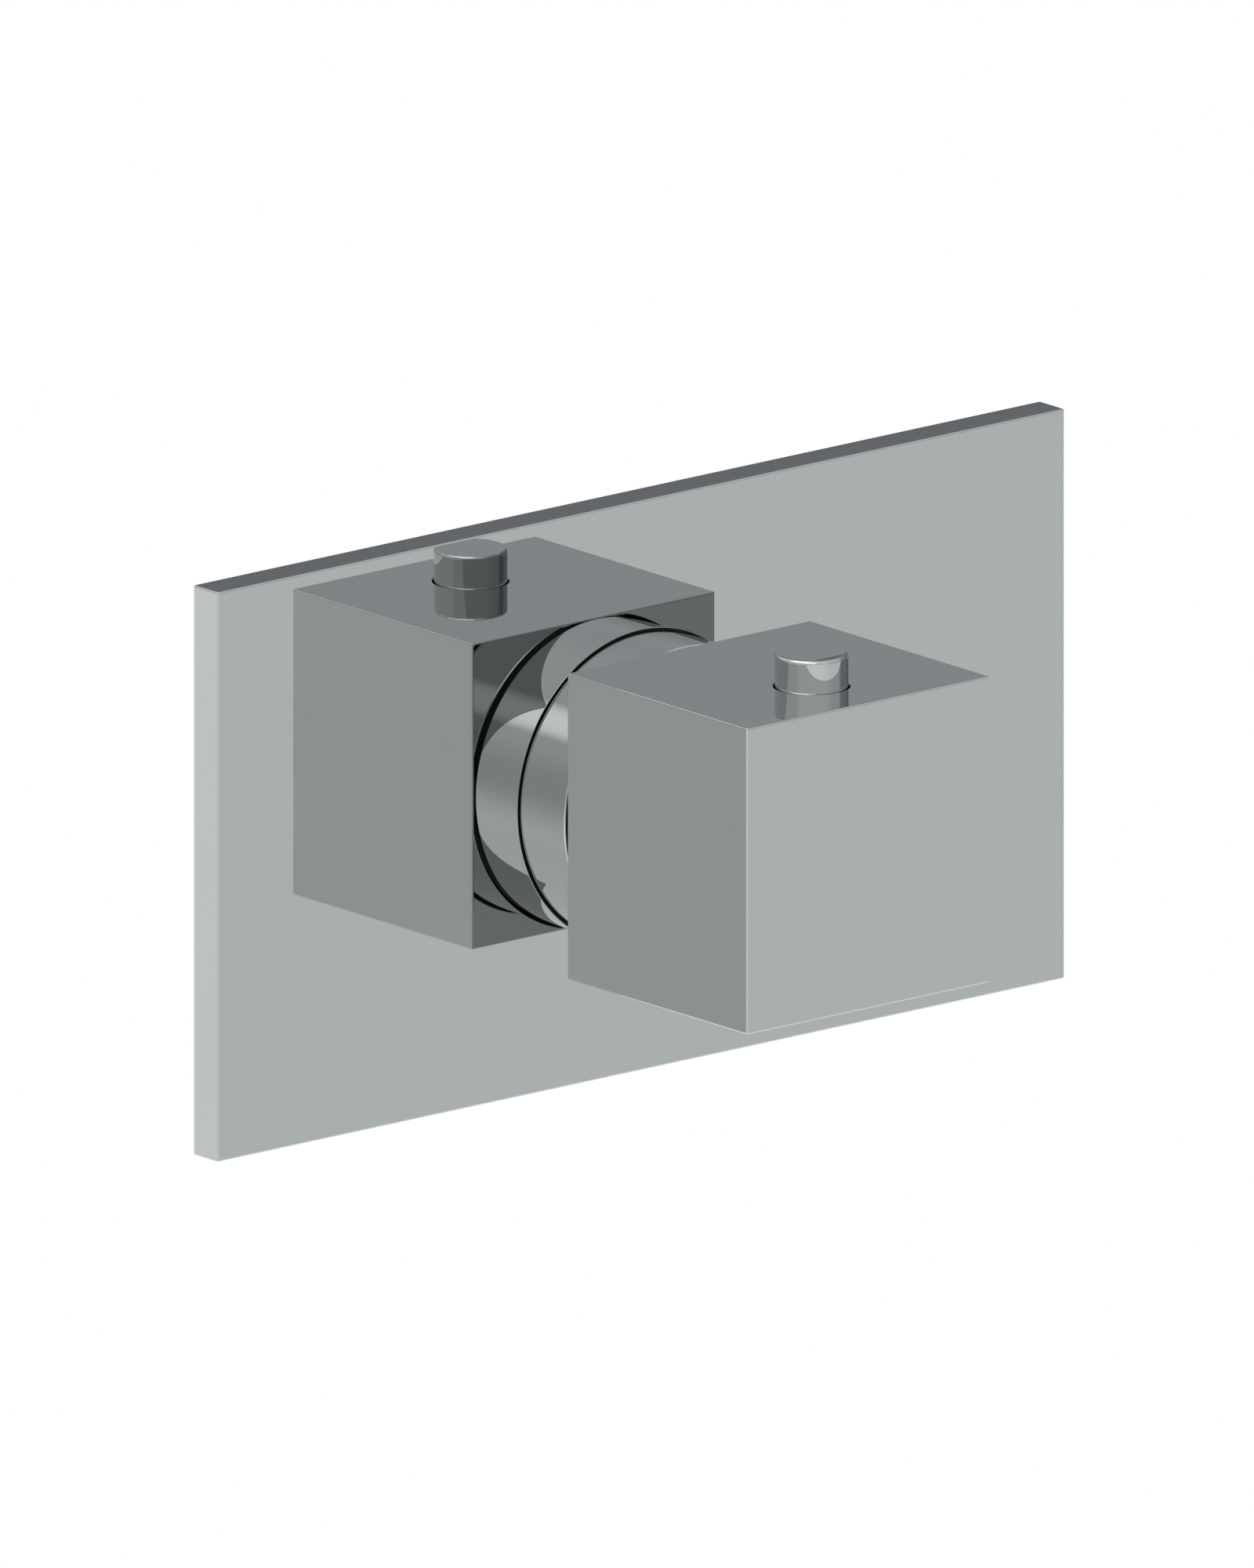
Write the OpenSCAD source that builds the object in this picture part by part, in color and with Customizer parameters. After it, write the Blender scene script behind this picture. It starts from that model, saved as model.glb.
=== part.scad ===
// Concealed thermostatic shower valve: a flat plate, a sleeve and a cube knob with a push
// button in front of the wall, and a brass body with its thermostatic cartridge behind it.
// The origin is the knob's axis where it meets the finished wall. +X is right, +Y goes
// into the wall and +Z is up, so everything in front of the wall has a negative Y.

/* [Wall plate] */
// Width of the plate
plate_w = 150; // [130:1:220]
// Height of the plate
plate_h = 80; // [70:1:120]
// Depth of the plate in front of the wall
plate_t = 5; // [4.5:0.5:8]
// Thickness of the plate's polished front
plate_skin = 1.8; // [1.2:0.1:2]
// Width of the rim round the hollow back
rim_w = 2.5; // [2:0.5:5]
// Bevel along the plate's front edges
plate_edge = 0.25; // [0.1:0.05:0.4]
// Ring gap between the sleeve and the plate's hole
plate_gap = 0.63; // [0.4:0.01:1]
// Width of the wall round the plate's hole
boss_w = 5; // [4:0.5:8]
// Width of the foam strip behind the rim
gasket_w = 8; // [5:0.5:10]

/* [Knob] */
// Width and height of the cube knob
knob_w = 43; // [42.8:0.1:48]
// Depth of the knob, front to back
knob_d = 38; // [37:0.5:44]
// Distance from the plate's front to the knob's back face
knob_stand = 10; // [9:0.5:14]
// Thickness of the knob's side walls
knob_wall = 4.5; // [4:0.1:5]
// Thickness of the knob's front wall
knob_face = 5; // [3:0.5:5.5]
// Bevel along the knob's edges
knob_edge = 0.25; // [0.1:0.05:0.35]
// Diameter of the grub screw under the knob
grub_d = 5; // [4:0.5:5]
// Turn of the knob from 38 degrees to its cold stop
turn_cold = 150; // [90:5:160]
// Turn of the knob from 38 degrees to its hot stop
turn_hot = 50; // [20:5:60]

/* [Push button] */
// Diameter of the button
button_d = 10.05; // [9:0.05:10.3]
// Height of the button above the knob's top face
button_up = 4.6; // [3.5:0.1:6]
// Distance from the knob's front face to the button's axis
button_back = 12; // [11.5:0.5:13]
// Travel of the button when it is pressed
button_travel = 2.5; // [1.5:0.1:2.6]
// Ring gap round the button
button_gap = 0.27; // [0.15:0.01:0.4]

/* [Sleeve] */
// Outer diameter of the sleeve
collar_d = 42.6; // [42:0.1:42.8]
// Wall of the sleeve
collar_wall = 1.6; // [1.2:0.1:1.8]
// Gap between the sleeve's end and the knob's back face
collar_gap = 0.55; // [0.5:0.05:1]
// Depth of the sleeve behind the plane of the wall
collar_in = 4.2; // [4:0.1:4.4]

/* [Valve body] */
// Outer diameter of the barrel
barrel_d = 41; // [40:0.5:43]
// Distance from the axis to each inlet's face
inlet_reach = 48.5; // [48:0.5:54]
// Depth of the inlets' thread bores
inlet_thread = 9.5; // [9:0.5:10]
// Distance from the axis to the outlet's face
outlet_reach = 41; // [38:0.5:60]
// Depth of the outlet's thread bore
outlet_thread = 11; // [9:0.5:12]
// Diameter of the inlet and outlet bosses
boss_d = 25.2; // [24:0.1:26]
// Wall diameter of the half inch thread bores
thread_d = 18.64; // [18.4:0.02:19]
// Hole distance of the fixing lugs, across
fix_w = 52; // [50:1:70]
// Hole distance of the fixing lugs, up
fix_h = 36; // [32:1:50]
// Diameter of the fixing holes
fix_d = 5.5; // [4.5:0.1:6.5]

/* [Cartridge] */
// Outer diameter of the cartridge housing
housing_d = 30.8; // [30.4:0.1:31]
// Diameter of the shuttle
shuttle_d = 21.9; // [21.6:0.1:22]
// Opening in front of the shuttle, which lets the cold water in
cold_opening = 1.1; // [1.1:0.1:1.4]
// Opening behind the shuttle, which lets the hot water in
hot_opening = 1.5; // [1.4:0.1:1.8]
// Advance of the regulating screw for one turn of the knob
screw_pitch = 3; // [1:0.5:3]
// Diameter of the spindle's splined end
spline_d = 9; // [8:0.1:9.2]
// Number of teeth on the splined end
spline_teeth = 20; // [16:1:24]
// Travel of each non-return valve's disc
poppet_travel = 1.5; // [1:0.1:1.5]

/* [Hidden] */
$fn = 96;
// How far a cut runs past the face that it leaves
over = 1;
// Clearance where fixed pieces seat in each other, and where one turns or slides in another
snug = 0.05;
run = 0.06;
// Gaps that keep two faces apart where one of them moves past the other
pass = 0.1;
free = 0.3;
hot_side = -1;
cold_side = 1;

// Colours
chrome = [0.72, 0.73, 0.74];
brass = [0.78, 0.62, 0.36];
steel = [0.6, 0.61, 0.62];
copper = [0.76, 0.5, 0.36];
black = [0.06, 0.06, 0.065];
rubber = [0.1, 0.1, 0.1];
plastic = [0.86, 0.86, 0.83];
foam = [0.3, 0.3, 0.32];

// Stations along the axis in front of the wall
plate_y = -plate_t;
knob_back_y = plate_y - knob_stand;
knob_front_y = knob_back_y - knob_d;
pocket_y = knob_front_y + knob_face;
button_y = knob_front_y + button_back;
collar_end_y = knob_back_y + collar_gap;

// Sleeve and the plate's hole, seal, ribs and foam
collar_r = collar_d / 2;
collar_in_r = collar_r - collar_wall;
collar_edge = 0.25;
hole_r = collar_r + plate_gap;
boss_short = 0.2;
rib_t = 1.6;
rib_z = 12;
seal_w = 1.8;
seal_deep = 1.6;
seal_back = 1.2;
lip_sunk = 0.5;
seal_y = -seal_back - seal_w;
gasket_gap = 0.2;
gasket_out_w = plate_w / 2 - rim_w - gasket_gap;
gasket_out_h = plate_h / 2 - rim_w - gasket_gap;
gasket_in_w = gasket_out_w - gasket_w;
gasket_in_h = gasket_out_h - gasket_w;

// Knob: its pocket, the shallow recess in its back face and the boss for its screw
knob_half = knob_w / 2;
pocket_half = knob_half - knob_wall;
recess_deep = 0.65;
recess_bevel = 0.6;
recess_lip = 0.4;
screw_boss_r = 5;
screw_boss_h = 3.8;

// Glide ring between the sleeve and the knob
glide_inset = 0.25;
glide_seat = 1.55;
glide_bore_r = 15;
glide_spigot = 2.8;
glide_proud = collar_gap - pass;
glide_r = min(collar_r - glide_inset, knob_half - recess_lip - snug);
pocket_r = glide_r - glide_seat;

// Button: a hollow cap on a stem, with a foot that stops it under the knob's top wall
button_r = button_d / 2;
button_top = knob_half + button_up;
button_edge = 0.35;
button_roof = 1.5;
button_wall = 0.9;
button_foot_w = 1.15;
button_foot_h = 1.3;
button_foot_z = pocket_half - snug;
roof_z = button_top - button_roof;
stem_r = 1.6;
stem_wall = 0.8;
stem_socket = 3;
stem_short = 0.6;
button_spring_r = 3.2;
button_wire = 0.3;
button_turns = 8;

// Spindle: its splined tip, journal and flange, and the grub screw on its tip
spline_r = spline_d / 2;
spline_deep = 0.4;
tooth_shares = [0, 0.3, 0.5, 0.8];
tip_back = 5;
grub_back = 3;
grub_r = grub_d / 2;
grub_sunk = 2;
grub_groove = 0.6;
grub_dog_r = 1.4;
grub_groove_w = 2 * (grub_dog_r + pass);
grub_hex_share = 0.58;
grub_socket = 2.6;
tip_y = button_y + tip_back;
grub_y = tip_y + grub_back;
shank_r = 4.8;
journal_r = 6.5;
journal_groove = 1;
spindle_flange_r = 8.8;
spindle_flange_w = 1.6;
spindle_ring_r = 0.5;
spindle_ring_w = 1.1;
spindle_ring_step = 4;
clip_w = 1;
clip_r = 7.5;
clip_groove = 0.6;
clip_gap = 3;

// Stop ring: a cup round the spindle with the knob's end stops inside it
cup_r = 12.4;
cup_in_r = 10.6;
cup_gap = 0.5;
cup_w = 6;
cup_base = 1.5;
cup_y = grub_y + grub_r + cup_gap;
cup_end_y = cup_y + cup_w;
key_n = 4;
key_w = 2;
key_h = 0.6;
stop_h = 1.7;
stop_spare = 1;
step_h = 0.4;
step_turn = 4;

// Catch under the button: its foot reaches back into the cup
foot_gap = 0.8;
foot_h = 1.5;
foot_half = 2;
foot_in = 2.5;
foot_top = cup_in_r - foot_gap;
foot_pressed_z = foot_top - foot_h - button_travel;

// Insert in the knob: hub, front plate, ribs and the platform that the spring stands on
hub_r = 6.5;
hub_in = 2;
hub_end_y = cup_y + hub_in;
stop_in_r = hub_r + free;
foot_turn = asin(foot_half / stop_in_r) + stop_spare;
socket_spare = 0.4;
insert_t = 1.6;
insert_rib_t = 3;
gusset_t = 1.2;
gusset_in = 5.2;
gusset_z = 2;
platform_half = 6.5;
platform_t = 1.4;
platform_gap = 1.2;
platform_z = foot_top + platform_gap + platform_t;
platform_end_y = button_y + platform_half;

// Cartridge and its seat in the body, with the flange just behind the plane of the wall
housing_r = housing_d / 2;
bore_r = housing_r + pass;
seat_out = 2;
flange_t = 2;
seat_y = -seat_out;
flange_y = seat_y - flange_t;
nut_bore = 1.6;
nut_r = housing_r + nut_bore;
nut_in_r = 10.6;
nut_slot_w = 3;
nut_slot_deep = 2;
nose_out = 9;
nose_y = -nose_out;
nose_r = collar_in_r - pass;
neck_r = 9.8;
neck_tip_r = 8;
neck_in = 4;
neck_y = cup_y + neck_in;
neck_step_y = cup_end_y;
spindle_ring_ys = [flange_y - 2 * spindle_ring_step, flange_y - spindle_ring_step];
screw_bore_r = 9;

// Inlets, with the cold chamber in front of them and the hot one behind
inlet_y = 18;
port_shift = 5.5;
cold_y = inlet_y - port_shift;
hot_y = inlet_y + port_shift;
chamber_w = 6;
chamber_deep = 2.1;
chamber_r = bore_r + chamber_deep;
cold_seat_y = cold_y - chamber_w / 2;
hot_seat_y = hot_y + chamber_w / 2;
window_w = 4.5;
window_t = 8;
window_n = 6;
screen_t = 0.6;
screen_w = 5.8;
screen_inset = 0.1;
screen_n = 24;
screen_slot_w = 1.5;
screen_rim = 0.9;
screen_r = housing_r - screen_inset;
end_seat = 4.5;
housing_end_y = hot_seat_y + end_seat;
end_bore_r = 12.4;
end_wall = 2.45;
end_flange_r = 14.2;
end_flange_w = 1.5;
end_hub_r = 7;
end_hub_in = 3.9;
end_arm_w = 2.4;
end_arm_n = 4;
packing_r = 0.65;
packing_deep = 1.35;
packing_w = 1.7;
packing_front = 3.5;
packing_rear = 2.6;
packing_ys = [cold_seat_y - packing_front, inlet_y, housing_end_y - packing_rear];

// Regulating screw: a keyed cup on a threaded stem, which advances with the knob
travel_hot = screw_pitch * turn_hot / 360;
carriage_back = 1;
carriage_y = seat_y + carriage_back;
carriage_end = 0.5;
carriage_end_y = cold_seat_y - carriage_end;
carriage_r = screw_bore_r - 2 * pass;
carriage_in_r = 7;
carriage_front_t = 2.2;
carriage_stem_r = 3.9;
carriage_stem = 14;
carriage_key_w = 2.4;
carriage_key_h = 1.1;
keyway_r = carriage_r + carriage_key_h + 2 * pass;
stem_spare = 0.8;
overload_wire = 0.5;
overload_r = 5.4;
overload_turns = 2.5;
seat_disc_t = 1.1;
seat_disc_back = 1.4;
seat_disc_r = 6.6;
overload_clip_t = 0.6;
overload_clip_in = 5.9;
overload_clip_deep = 0.4;
seat_disc_y = carriage_end_y - seat_disc_back - seat_disc_t;

// Thermostatic element and shuttle
shuttle_r = shuttle_d / 2;
shuttle_wall = 1.6;
shuttle_y = cold_seat_y + cold_opening;
shuttle_end_y = hot_seat_y - hot_opening;
hub_front = 2.4;
hub_back = 3;
hub_wall = 2.4;
spoke_w = 2.4;
spoke_n = 4;
spoke_in = 1;
wax_r = 4;
wax_flange_r = 5.6;
wax_flange_w = 1.5;
wax_guide_r = 2.6;
wax_guide_w = 3;
wax_bulb_r = 3.4;
wax_bulb_w = 10;
wax_body_w = 3;
wax_bore_w = 12;
piston_r = 1.2;
piston_w = 9.5;
piston_in = 0.5;
shuttle_ring_r = 0.45;
shuttle_ring_deep = 0.9;
shuttle_hub_y = shuttle_y + hub_front;
shuttle_hub_end_y = shuttle_end_y - hub_back;
wax_flange_y = shuttle_hub_y - wax_flange_w;
wax_guide_y = wax_flange_y - wax_guide_w;
wax_bulb_y = shuttle_hub_end_y + wax_body_w;
return_r = 5.9;
return_wire = 0.5;
return_turns = 5;

// Barrel of the body, its mixing room and its upper port
barrel_r = barrel_d / 2;
mix_room = 11;
back_wall = 4;
bore_end_y = housing_end_y + mix_room;
barrel_end_y = bore_end_y + back_wall;
mix_back = 5.5;
mix_y = bore_end_y - mix_back;
mix_port_r = 4;
outlet_front = 5;
outlet_y = mix_y - outlet_front;
thread_r = thread_d / 2;
boss_r = boss_d / 2;
wrench_af = 26;
wrench_w = 9;
nose_step = 5;
plug_r = 5.72;
plug_boss_r = 9;
plug_boss_up = 0.4;
plug_boss_z = barrel_r + plug_boss_up;
plug_in = 5;
plug_head_r = 8;
plug_head_h = 2.4;
plug_hex_r = 3.2;
plug_hex_deep = 3;
washer_t = 1;
lug_pad = 2.75;
lug_t = 5;
flange_up = 0.3;
lug_r = fix_d / 2 + lug_pad;
lug_turn = atan(fix_h / fix_w);
lug_reach = norm([fix_w, fix_h]) / 2;
groove_y = 2;
groove_w = 2.2;
groove_deep = 2;
collar_ring_r = 1;

// Service stops beside the barrel, between the inlets and the chambers
stop_r = 4.1;
stop_wall = 0.9;
stop_boss_r = 7;
stop_boss_end = 2.5;
stop_floor = 2;
stop_out = 6;
stop_stem_r = 2.6;
stop_stem_out = 1.3;
stop_slot_w = 0.9;
stop_slot_deep = 1.2;
stop_bore_r = 2.4;
stop_exit_r = 1.8;
gland_r = 5.5;
gland_w = 2.4;
gland_head_r = 6.4;
gland_head_w = 1.1;
stop_ring_r = (stop_r - stop_stem_r - snug) / 2;
stop_front_y = stop_out + gland_w + 2 * (stop_ring_r + snug);
stop_end_y = hot_y + stop_exit_r + stop_floor;

// Non-return valves in the inlets, with a strainer in front of each
filter_t = 1;
filter_r = 9;
filter_in = 1.6;
check_r = 8.4;
check_room = 7.5;
check_w = check_room + poppet_travel;
check_in_r = 6.6;
check_seat_r = 4.6;
check_seat_w = 1.5;
check_hub_r = 2.4;
check_hub_w = 2.1;
check_arm_w = 1.6;
check_arm_n = 3;
check_ring_r = 0.4;
check_ring_deep = 0.8;
check_ring_back = 4;
check_port_r = 2.8;
poppet_r = 5.6;
poppet_t = 1.2;
poppet_stem_r = 1.25;
poppet_stem_in = 1;
check_spring_r = 3;
check_wire = 0.25;
check_turns = 3;
mesh_step = 2.2;
mesh_w = 0.5;
mesh_t = 0.4;
mesh_n = floor((filter_r - filter_in) / mesh_step);
check_end_x = inlet_reach - inlet_thread - filter_t;
check_x = check_end_x - check_w;
stop_x = check_x - stop_wall - stop_r;
poppet_x = check_end_x - check_seat_w - snug;

// A child's +Z runs into the wall from station y
module into_wall(y) translate([0, y, 0]) rotate([-90, 0, 0]) children();

module rod(r, from, to) into_wall(from) cylinder(r = r, h = to - from);

module tube(outer, inner, from, to) difference() {
    rod(outer, from, to);
    rod(inner, from - over, to + over);
}

// Ring of round section about the axis
module o_ring(r, wire, y) into_wall(y) rotate_extrude() translate([r, 0]) circle(r = wire);

module both_stops() for (side = [hot_side, cold_side]) translate([side * stop_x, 0, 0]) children();

// A child's +Z runs out along an inlet from the axis
module along_inlet(side) translate([0, inlet_y, 0]) rotate([0, side * 90, 0]) children();

module bevelled_outline(w, h, c) polygon([
    [c - w / 2, -h / 2], [w / 2 - c, -h / 2], [w / 2, c - h / 2], [w / 2, h / 2 - c],
    [w / 2 - c, h / 2], [c - w / 2, h / 2], [-w / 2, h / 2 - c], [-w / 2, c - h / 2]]);

// Block about the axis, with every edge bevelled
module bevelled_block(w, h, from, to, c) {
    d = to - from;
    intersection() {
        into_wall(from) linear_extrude(d) bevelled_outline(w, h, c);
        translate([0, from + d / 2, -h / 2]) linear_extrude(h) bevelled_outline(w, d, c);
        translate([-w / 2, from + d / 2, 0]) rotate([90, 0, 90]) linear_extrude(w)
            bevelled_outline(d, h, c);
    }
}

// Splined section of the spindle, grown by a clearance
module spline_section(grow) polygon([for (tooth = [0 : spline_teeth - 1], k = [0 : 3])
    let (turn = (tooth + tooth_shares[k]) * 360 / spline_teeth,
        r = spline_r + grow - (k < 2 ? 0 : spline_deep))
    [r * cos(turn), r * sin(turn)]]);

// Wound spring along +Z: rings of points follow the helix and triangles join them
coil_rings = 8;
coil_sides = 6;
module coil(r, wire, length, turns) {
    last = turns * coil_rings;
    rise = (length - 2 * wire) / last;
    points = [for (i = [0 : last], j = [0 : coil_sides - 1])
        let (turn = 360 * i / coil_rings, around = 360 * j / coil_sides,
            reach = r + wire * cos(around))
        [reach * cos(turn), reach * sin(turn), wire + i * rise + wire * sin(around)]];
    sides = [for (i = [0 : last - 1], j = [0 : coil_sides - 1])
        let (a = i * coil_sides + j, b = i * coil_sides + (j + 1) % coil_sides)
        each [[a, b, b + coil_sides], [a, b + coil_sides, a + coil_sides]]];
    caps = [for (j = [1 : coil_sides - 2])
        let (end = last * coil_sides)
        each [[0, j + 1, j], [end, end + j, end + j + 1]]];
    echo(coil_gap = min([for (i = [coil_rings : last], k = [ceil(coil_rings / 2) : min(i, 2 * coil_rings)],
        a = [0 : coil_sides - 1], b = [0 : coil_sides - 1])
        norm(points[i * coil_sides + a] - points[(i - k) * coil_sides + b])]));
    polyhedron(points, concat(sides, caps));
}

module spokes(n, from, to, w, near, far) for (i = [0 : n - 1])
    translate([0, from, 0]) rotate([0, i * 360 / n, 0])
        translate([near, 0, -w / 2]) cube([far - near, to - from, w]);

module wall_plate() color(chrome) difference() {
    union() {
        difference() {
            intersection() {
                bevelled_block(plate_w, plate_h, plate_y, plate_t, plate_edge);
                translate([-plate_w, plate_y - over, -plate_h])
                    cube([2 * plate_w, plate_t + over, 2 * plate_h]);
            }
            translate([rim_w - plate_w / 2, plate_y + plate_skin, rim_w - plate_h / 2])
                cube([plate_w - 2 * rim_w, plate_t, plate_h - 2 * rim_w]);
        }
        rod(hole_r + boss_w, plate_y + plate_skin / 2, -boss_short);
        for (up = [-1, 1])
            translate([snug - gasket_in_w, plate_y + plate_skin / 2, up * rib_z - rib_t / 2])
                cube([2 * (gasket_in_w - snug), plate_t - plate_skin / 2 - seal_back, rib_t]);
    }
    rod(hole_r, plate_y - over, over);
    into_wall(plate_y - over)
        cylinder(r1 = hole_r + plate_edge + over, r2 = hole_r, h = plate_edge + over);
    rod(hole_r + seal_deep + snug, seal_y - snug, -seal_back + snug);
}

module plate_gasket() color(foam) difference() {
    translate([-gasket_out_w, plate_y + plate_skin + snug, -gasket_out_h])
        cube([2 * gasket_out_w, plate_t - plate_skin - snug, 2 * gasket_out_h]);
    translate([-gasket_in_w, plate_y, -gasket_in_h])
        cube([2 * gasket_in_w, plate_t + over, 2 * gasket_in_h]);
    rod(hole_r + boss_w + snug, plate_y, over);
}

module plate_seal() color(rubber) {
    tube(hole_r + seal_deep, collar_r + snug, seal_y, -seal_back);
    tube(hole_r - snug, collar_r + snug, plate_y + lip_sunk, seal_y + snug);
}

module collar() color(chrome) into_wall(collar_end_y) rotate_extrude() polygon([
    [collar_in_r, 0], [collar_r - collar_edge, 0], [collar_r, collar_edge],
    [collar_r, collar_in - collar_end_y], [collar_in_r, collar_in - collar_end_y]]);

module collar_o_ring() color(rubber)
    o_ring(nose_r - groove_deep + collar_ring_r + snug, collar_ring_r, groove_y);

// Outline of the knob's pocket, drawn in by a clearance
module pocket_outline(gap) intersection() {
    square(2 * (pocket_half - gap), center = true);
    circle(r = pocket_r - gap);
}

module glide_ring() color(black) difference() {
    union() {
        rod(glide_r, knob_back_y - recess_deep + snug, knob_back_y + glide_proud);
        into_wall(knob_back_y - recess_deep - glide_spigot)
            linear_extrude(glide_spigot + recess_deep) pocket_outline(snug);
    }
    rod(glide_bore_r, knob_front_y, 0);
}

module knob() color(chrome) difference() {
    union() {
        difference() {
            bevelled_block(knob_w, knob_w, knob_front_y, knob_back_y, knob_edge);
            into_wall(pocket_y) linear_extrude(knob_d) pocket_outline(0);
            intersection() {
                into_wall(knob_back_y - recess_deep) cylinder(r1 = collar_r,
                    r2 = collar_r + recess_bevel * (1 + over / recess_deep), h = recess_deep + over);
                translate([recess_lip - knob_half, knob_front_y, recess_lip - knob_half])
                    cube([knob_w - 2 * recess_lip, knob_d + over, knob_w - 2 * recess_lip]);
            }
        }
        translate([0, grub_y, -pocket_half - knob_wall / 2])
            cylinder(r = screw_boss_r, h = knob_wall / 2 + screw_boss_h);
    }
    translate([0, grub_y, -knob_w]) cylinder(r = grub_r, h = knob_w);
    translate([0, button_y, 0]) {
        cylinder(r = button_r + button_gap, h = knob_w);
        translate([0, 0, knob_half - knob_edge]) cylinder(r1 = button_r + button_gap,
            r2 = button_r + button_gap + knob_edge + over, h = knob_edge + over);
    }
}

module knob_insert() color(black) difference() {
    union() {
        difference() {
            into_wall(pocket_y + snug) linear_extrude(insert_t) pocket_outline(snug);
            translate([-knob_half, knob_front_y, platform_z]) cube(knob_w);
        }
        rod(hub_r, pocket_y + snug, hub_end_y);
        for (side = [-1, 1]) {
            translate([side > 0 ? 0 : snug - pocket_half, pocket_y + snug, -insert_rib_t / 2])
                cube([pocket_half - snug, button_y - pocket_y, insert_rib_t]);
            translate([side * gusset_in - (side < 0 ? gusset_t : 0), pocket_y + snug, gusset_z])
                cube([gusset_t, platform_end_y - pocket_y - snug, platform_z - gusset_z]);
        }
        translate([-insert_rib_t / 2, pocket_y + snug, snug - pocket_half])
            cube([insert_rib_t, grub_y - screw_boss_r - free - pocket_y - snug, pocket_half - snug]);
        translate([-platform_half, pocket_y + snug, platform_z - platform_t])
            cube([2 * platform_half, platform_end_y - pocket_y - snug, platform_t]);
    }
    into_wall(tip_y - socket_spare) linear_extrude(knob_d) spline_section(snug);
    translate([0, button_y, platform_z - platform_t - over])
        cylinder(r = stem_r + run, h = platform_t + 2 * over);
    translate([0, grub_y, -hub_r - over]) cylinder(r = grub_r + snug, h = hub_r + over);
    translate([-foot_half - free, button_y - foot_half - free, foot_pressed_z - free])
        cube([2 * (foot_half + free), knob_d, platform_z - platform_t - foot_pressed_z + free]);
}

module knob_screw() color(steel) translate([0, grub_y, grub_sunk - knob_half]) difference() {
    union() {
        cylinder(r = grub_r - snug, h = knob_half - grub_sunk - spline_r - pass);
        cylinder(r = grub_dog_r, h = knob_half - grub_sunk - spline_r + grub_groove - snug);
    }
    translate([0, 0, -over])
        cylinder(r = grub_hex_share * grub_r, h = grub_socket + over, $fn = 6);
}

module button() color(chrome) translate([0, button_y, 0]) rotate_extrude() polygon([
    [0, button_top], [button_r - button_edge, button_top], [button_r, button_top - button_edge],
    [button_r, button_foot_z], [button_r + button_foot_w, button_foot_z],
    [button_r + button_foot_w, button_foot_z - button_foot_h],
    [button_r - button_wall, button_foot_z - button_foot_h], [button_r - button_wall, roof_z],
    [stem_r + stem_wall, roof_z], [stem_r + stem_wall, roof_z - stem_socket],
    [stem_r + snug, roof_z - stem_socket], [stem_r + snug, roof_z - stem_short],
    [0, roof_z - stem_short]]);

module stop_catch() color(steel) {
    translate([0, button_y, foot_top - foot_h / 2])
        cylinder(r = stem_r, h = roof_z - stem_short - snug - foot_top + foot_h / 2);
    translate([-foot_half, button_y - foot_half, foot_top - foot_h])
        cube([2 * foot_half, cup_y + foot_in - button_y + foot_half, foot_h]);
}

module button_spring() color(steel) translate([0, button_y, platform_z + snug])
    coil(button_spring_r, button_wire, roof_z - platform_z - 2 * snug, button_turns);

// Part of a disc between two turns from the top, counted towards hot
module wedge(from, to) polygon(concat([[0, 0]], [for (i = [0 : 8])
    let (turn = from + (to - from) * i / 8) [-cup_r * sin(turn), -cup_r * cos(turn)]]));

module stop_ring() color(black) {
    difference() {
        union() {
            tube(cup_r, cup_in_r, cup_y, cup_end_y);
            rod(cup_in_r + snug, cup_end_y - cup_base, cup_end_y);
        }
        rod(neck_tip_r + snug, cup_y, cup_end_y + over);
        spokes(key_n, cup_y, cup_end_y + over, key_w + 2 * snug, neck_tip_r - over,
            neck_tip_r + key_h + snug);
    }
    intersection() {
        union() {
            tube(cup_in_r + snug, stop_in_r, cup_y + pass, cup_y + foot_in + pass);
            tube(cup_in_r + snug, cup_in_r - stop_h, cup_y + pass, cup_end_y - cup_base / 2);
        }
        into_wall(cup_y) linear_extrude(cup_w) wedge(turn_hot + foot_turn, 360 - turn_cold - foot_turn);
    }
    intersection() {
        tube(cup_in_r + snug, cup_in_r - step_h, cup_y + pass, cup_end_y - cup_base / 2);
        into_wall(cup_y) linear_extrude(cup_w) wedge(foot_turn, foot_turn + step_turn);
    }
}

module spindle() color(brass) difference() {
    union() {
        into_wall(tip_y) linear_extrude(hub_end_y + free - tip_y) spline_section(0);
        rod(shank_r, hub_end_y + free, neck_y);
        rod(journal_r, neck_y - snug, flange_y + 2 * pass);
        rod(spindle_flange_r, flange_y + pass, flange_y + pass + spindle_flange_w);
    }
    tube(spline_r + over, spline_r - grub_groove, grub_y - grub_groove_w / 2, grub_y + grub_groove_w / 2);
    tube(shank_r + over, spline_r - clip_groove, neck_y - pass - clip_w - snug, neck_y - snug);
    for (y = spindle_ring_ys)
        tube(journal_r + over, journal_r - journal_groove, y - spindle_ring_w / 2, y + spindle_ring_w / 2);
    rod(carriage_stem_r + pass, carriage_y - carriage_stem - travel_hot - stem_spare, seat_y);
}

module spindle_o_rings() color(rubber) for (y = spindle_ring_ys)
    o_ring(journal_r - journal_groove + spindle_ring_r + snug / 2, spindle_ring_r - snug / 2, y);

module spindle_clip() color(steel) difference() {
    tube(clip_r, spline_r - clip_groove + snug, neck_y - pass - clip_w, neck_y - pass);
    translate([-clip_gap / 2, neck_y - knob_d, 0]) cube([clip_gap, knob_d, clip_r + over]);
}

module cartridge_nut() color(brass) difference() {
    tube(nut_r - snug, nut_in_r, nose_y, flange_y - snug);
    spokes(key_n, nose_y - over, nose_y + nut_slot_deep, nut_slot_w, nut_in_r - over, nut_r);
}

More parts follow.
